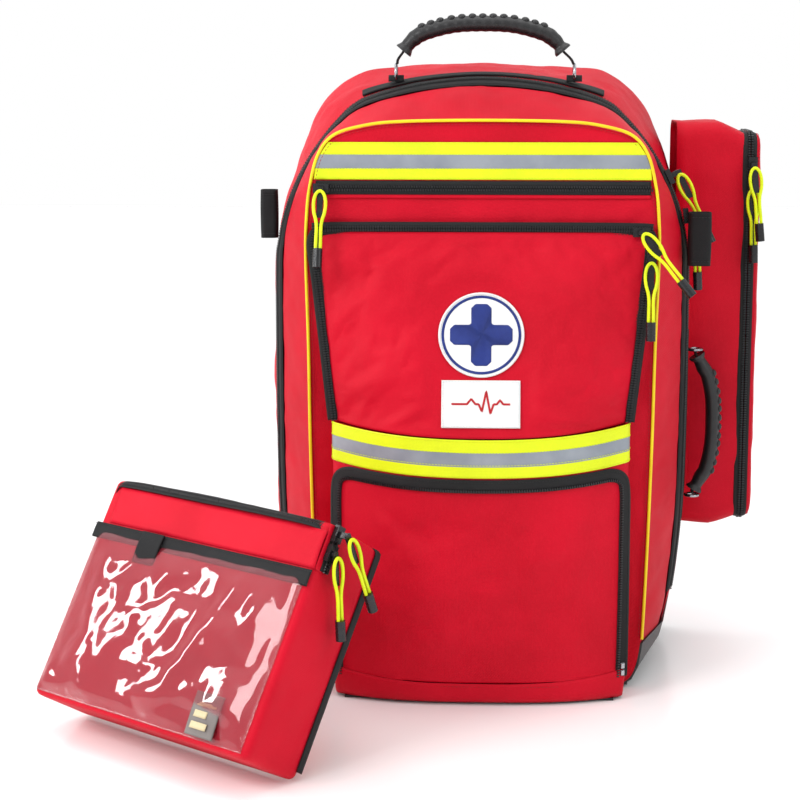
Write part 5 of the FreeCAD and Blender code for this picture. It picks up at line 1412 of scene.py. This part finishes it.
# back zip
half = [(PW - 11, 10), (PW - 11, 60), (PW - 11, 120), (PW - 11, PL - 34), (PW - 14, PL - 20), (PW - 24, PL - 11.5), (PW - 40, PL - 11)]
pz = half + [(0, PL - 11)] + [(-x, z) for x, z in reversed(half)]
pz = catmull([(x, 1.2, z) for x, z in pz], 260)
wv = np.cross(tangents(pz), (0, 1, 0))
o = strip_on("pouch_back_zip_tape", pz, wv, 11, ZTAPE, None, t=1.1, bow=0.7, nrm=(0, 1, 0), inside=(0, -30, 100), n=9)
place(o, "window_pouch", "pouch_back_zip", slot="zip_black")
wvn = wv / np.linalg.norm(wv, axis=1)[:, None]
o = row_of("pouch_back_zip_coil", pz + wvn * 3.6 + [0, 0.8, 0], (0, 1, 0), 2.4, (1.4, 3.0, 1.4), 0.0, COIL, None)
place(o, "window_pouch", slot="zip_black")
# black binding round the pouch's back edge
bind = resample(np.c_[rail([(PW - 20, PL), (PW, PL), (PW, 0), (0, 0)], 7)], 4)
bp_ = np.array([[x, -2.4, z] for x, z, _ in [(p_[0], p_[1], 0) for p_ in bind]])
bp_[:, 0] += 1.2
o = strip_on("pouch_back_binding", bp_[: int(len(bp_) * 0.62)], (0, 1, 0), 7.5, ZTAPE, None, t=1.0, bow=0.8, nrm=(1, 0, 0), inside=(0, -2, 100))
place(o, "window_pouch", slot="zip_black")

# ------------------------------------------------------------ back system
for nm, (x0, x1, z0, z1) in {"left": (-140, -35, 200, 530), "right": (35, 140, 200, 530), "lumbar": (-140, 140, 85, 175)}.items():
    o = soft_box("back_pad_" + nm, x0, x1, 117.2, 134.5, z0, z1, 8.3, MESH, 6.0)
    a = coords(o)
    hold = (a[:, 1] < 122).astype(float)
    for zc_ in ((285, 365, 445) if nm != "lumbar" else ()):
        hold = np.maximum(hold, np.exp(-((a[:, 2] - zc_) / 4.0) ** 2) * (a[:, 1] > 130))
        a[:, 1] -= 3.2 * np.exp(-((a[:, 2] - zc_) / 5.0) ** 2) * (a[:, 1] > 126)
    set_coords(o, a)
    cloth(o, pin=hold, pressure=4.0, cap=6.0, sub=False)
    put(o, "pack", *(["back_padding"] if nm == "left" else []), slot="padding_black")

RY_ = 118.0
for sgn in (-1, 1):
    nm = "left" if sgn < 0 else "right"
    prof = catmull([(0, RY_ + 2.4, 576), (0, RY_ + 8, 571), (0, RY_ + 18, 560), (0, RY_ + 26.5, 545), (0, RY_ + 27.5, 480), (0, RY_ + 27.5, 360), (0, RY_ + 27.5, 256)], 90)
    xc = sgn * 87.0
    tt = tangents(prof)
    tt = tt / np.linalg.norm(tt, axis=1)[:, None]
    nn_ = np.cross((1.0, 0, 0), tt)
    if nn_[60, 1] < 0:
        nn_ = -nn_
    k2 = np.linspace(0, 2 * math.pi, 40, endpoint=False)
    cols = []
    for i, c_ in enumerate(prof):
        f = i / 89.0
        hw = 31.0 - 3.0 * max(0, f - 0.8) / 0.2
        th = 3.0 + 3.4 * min(1, f * 6) * (1 - 0.4 * max(0, f - 0.93) / 0.07)
        e = np.sign(np.cos(k2)) * np.abs(np.cos(k2)) ** 0.45
        g_ = np.sign(np.sin(k2)) * np.abs(np.sin(k2)) ** 0.6
        cols.append(np.array([xc, 0, 0]) + c_ + np.outer(e * hw, (1, 0, 0)) + np.outer(g_ * th, nn_[i]))
    P = np.array(cols)
    P[..., 1] += fbm(P, 38.0, 81.0 + sgn) * 0.7
    o = grid("shoulder_strap_" + nm, P, MESH, cv=True, inside=(xc, RY_ + 27, 400))
    # close the two ends
    import bmesh
    bm = bmesh.new()
    bm.from_mesh(o.data)
    bmesh.ops.holes_fill(bm, edges=[e_ for e_ in bm.edges if e_.is_boundary], sides=0)
    bm.to_mesh(o.data)
    bm.free()
    put(o, "pack", *(["shoulder_straps"] if sgn < 0 else []), slot="padding_black")
    top = prof + nn_ * 6.6
    top[:, 0] += xc
    strip_on("strap_face_webbing_" + nm, top[8:86], (1, 0, 0), 25, BLACK, "pack", slot="webbing_black", t=1.4, bow=0.0, nrm=nn_[8:86], rip=0.15, inside=(xc, RY_ + 20, 400))
    wp = catmull([(xc, RY_ + 3.6, 48), (xc, RY_ + 4.0, 61), (xc, RY_ + 12, 73), (xc, RY_ + 21.2, 85), (xc, RY_ + 22.8, 120), (xc, RY_ + 24, 214), (xc, RY_ + 24.2, 236)], 80)
    tt = tangents(wp)
    nn2 = np.cross((1.0, 0, 0), tt)
    nn2 = nn2 * np.sign(nn2[60, 1])
    strip_on("strap_lower_webbing_" + nm, wp, (1, 0, 0), 25, BLACK, "pack", *(["strap_webbing"] if sgn < 0 else []), slot="webbing_black", t=1.7, bow=0.0, nrm=nn2, rip=0.2, inside=(xc, RY_ + 10, 150))

# mesh pocket inside the front half
X, Z = np.meshgrid(np.linspace(-130, 130, 60), np.linspace(170, 470, 70), indexing="ij")
P = np.stack([X, np.full_like(X, -91.5), Z], -1)
P[..., 1] += 1.6 * np.cos(X / 130 * math.pi / 2) * np.cos((Z - 320) / 150 * math.pi / 2) + fbm(P, 40, 8) * 0.5
net_o = put(grid("lid_net", P, NET, inside=(0, -300, 320)), "lid", "lid_mesh_pocket", slot="mesh_black")
edge_ = np.array([(-130, 0, 170), (130, 0, 170), (130, 0, 470), (-130, 0, 470), (-130, 0, 170)], float)
edge_[:, 1] = -91.0
ed = resample(edge_, 5)
strip_on("lid_net_binding", ed, np.cross(tangents(ed), (0, 1, 0)), 12, ZTAPE, "lid", slot="mesh_black", t=1.2, bow=0.5, nrm=(0, 1, 0), inside=(0, -300, 320))


# ---------------------------------------------------------- CAD pieces' finish
LOOK = {"back_board": PLASTIC, "compartment_dividers": GREYPAD, "strap_buckles": BUCKLE, "handle_rings": STEEL}
for nm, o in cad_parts.items():
    m = LOOK.get(nm)
    if m is None and "slider" in nm and not nm.endswith("_cord"):
        m = SLIDERM
    if m is None:
        m = RED
    o.data.materials.clear()
    o.data.materials.append(m)

# --------------------------------------------------------------- floor, light
me = bpy.data.meshes.new("floor")
S = 6.0
me.from_pydata([(-S, -S, 0), (S, -S, 0), (S, S, 0), (-S, S, 0)], [], [(0, 1, 2, 3)])
floor = link(bpy.data.objects.new("floor", me))
fm, nt, b = base_mat("floor_white")
tc = nt.nodes.new("ShaderNodeTexCoord")
n1 = node(nt, "ShaderNodeTexNoise", Scale=3.0)
nt.links.new(tc.outputs["Object"], n1.inputs["Vector"])
nt.links.new(mix_col(nt, n1.outputs["Fac"], (0.97, 0.97, 0.975), (0.985, 0.985, 0.99)), b.inputs["Base Color"])
b.inputs["Roughness"].default_value = 0.22
b.inputs["Specular IOR Level"].default_value = 0.45
me.materials.append(fm)

wd = bpy.data.worlds.new("studio")
bpy.context.scene.world = wd
wd.use_nodes = True
bg = wd.node_tree.nodes.get("Background")
bg.inputs[0].default_value = (1.0, 1.0, 1.0, 1.0)
bg.inputs[1].default_value = 1.0
gr = wd.node_tree.nodes.new("ShaderNodeTexCoord")
sp_ = wd.node_tree.nodes.new("ShaderNodeSeparateXYZ")
wd.node_tree.links.new(gr.outputs["Generated"], sp_.inputs[0])
mr = wd.node_tree.nodes.new("ShaderNodeMapRange")
mr.interpolation_type = "SMOOTHSTEP"
mr.inputs["From Min"].default_value = 0.25
mr.inputs["From Max"].default_value = 0.75
mr.inputs["To Min"].default_value = 0.74
mr.inputs["To Max"].default_value = 1.0
wd.node_tree.links.new(sp_.outputs[1], mr.inputs["Value"])
mz = wd.node_tree.nodes.new("ShaderNodeMapRange")
mz.interpolation_type = "SMOOTHSTEP"
mz.inputs["From Min"].default_value = 0.15
mz.inputs["From Max"].default_value = 0.7
mz.inputs["To Min"].default_value = 0.0
mz.inputs["To Max"].default_value = 1.15
wd.node_tree.links.new(sp_.outputs[2], mz.inputs["Value"])
wd.node_tree.links.new(math_node(wd.node_tree, "MAXIMUM", mr.outputs[0], mz.outputs[0]), bg.inputs[1])


def area(name, loc, target, size, power, sy=None):
    L = bpy.data.lights.new(name, "AREA")
    L.shape = "RECTANGLE"
    L.size = size
    L.size_y = sy or size
    L.energy = power
    o = link(bpy.data.objects.new(name, L))
    o.location = loc
    d = Vector(target) - Vector(loc)
    o.rotation_euler = d.to_track_quat("-Z", "Y").to_euler()
    return o


area("key_left", (-1.7, -1.7, 1.7), (0, 0, 0.3), 1.0, 30, 1.3)
area("fill_right", (1.9, -1.5, 1.3), (0, 0, 0.3), 1.0, 9, 1.4)
area("top", (0.0, 0.1, 2.4), (0, 0, 0.3), 1.6, 12, 1.2)
area("strip_left", (-1.75, -0.25, 0.75), (-0.3, -0.35, 0.1), 0.22, 9, 0.8)
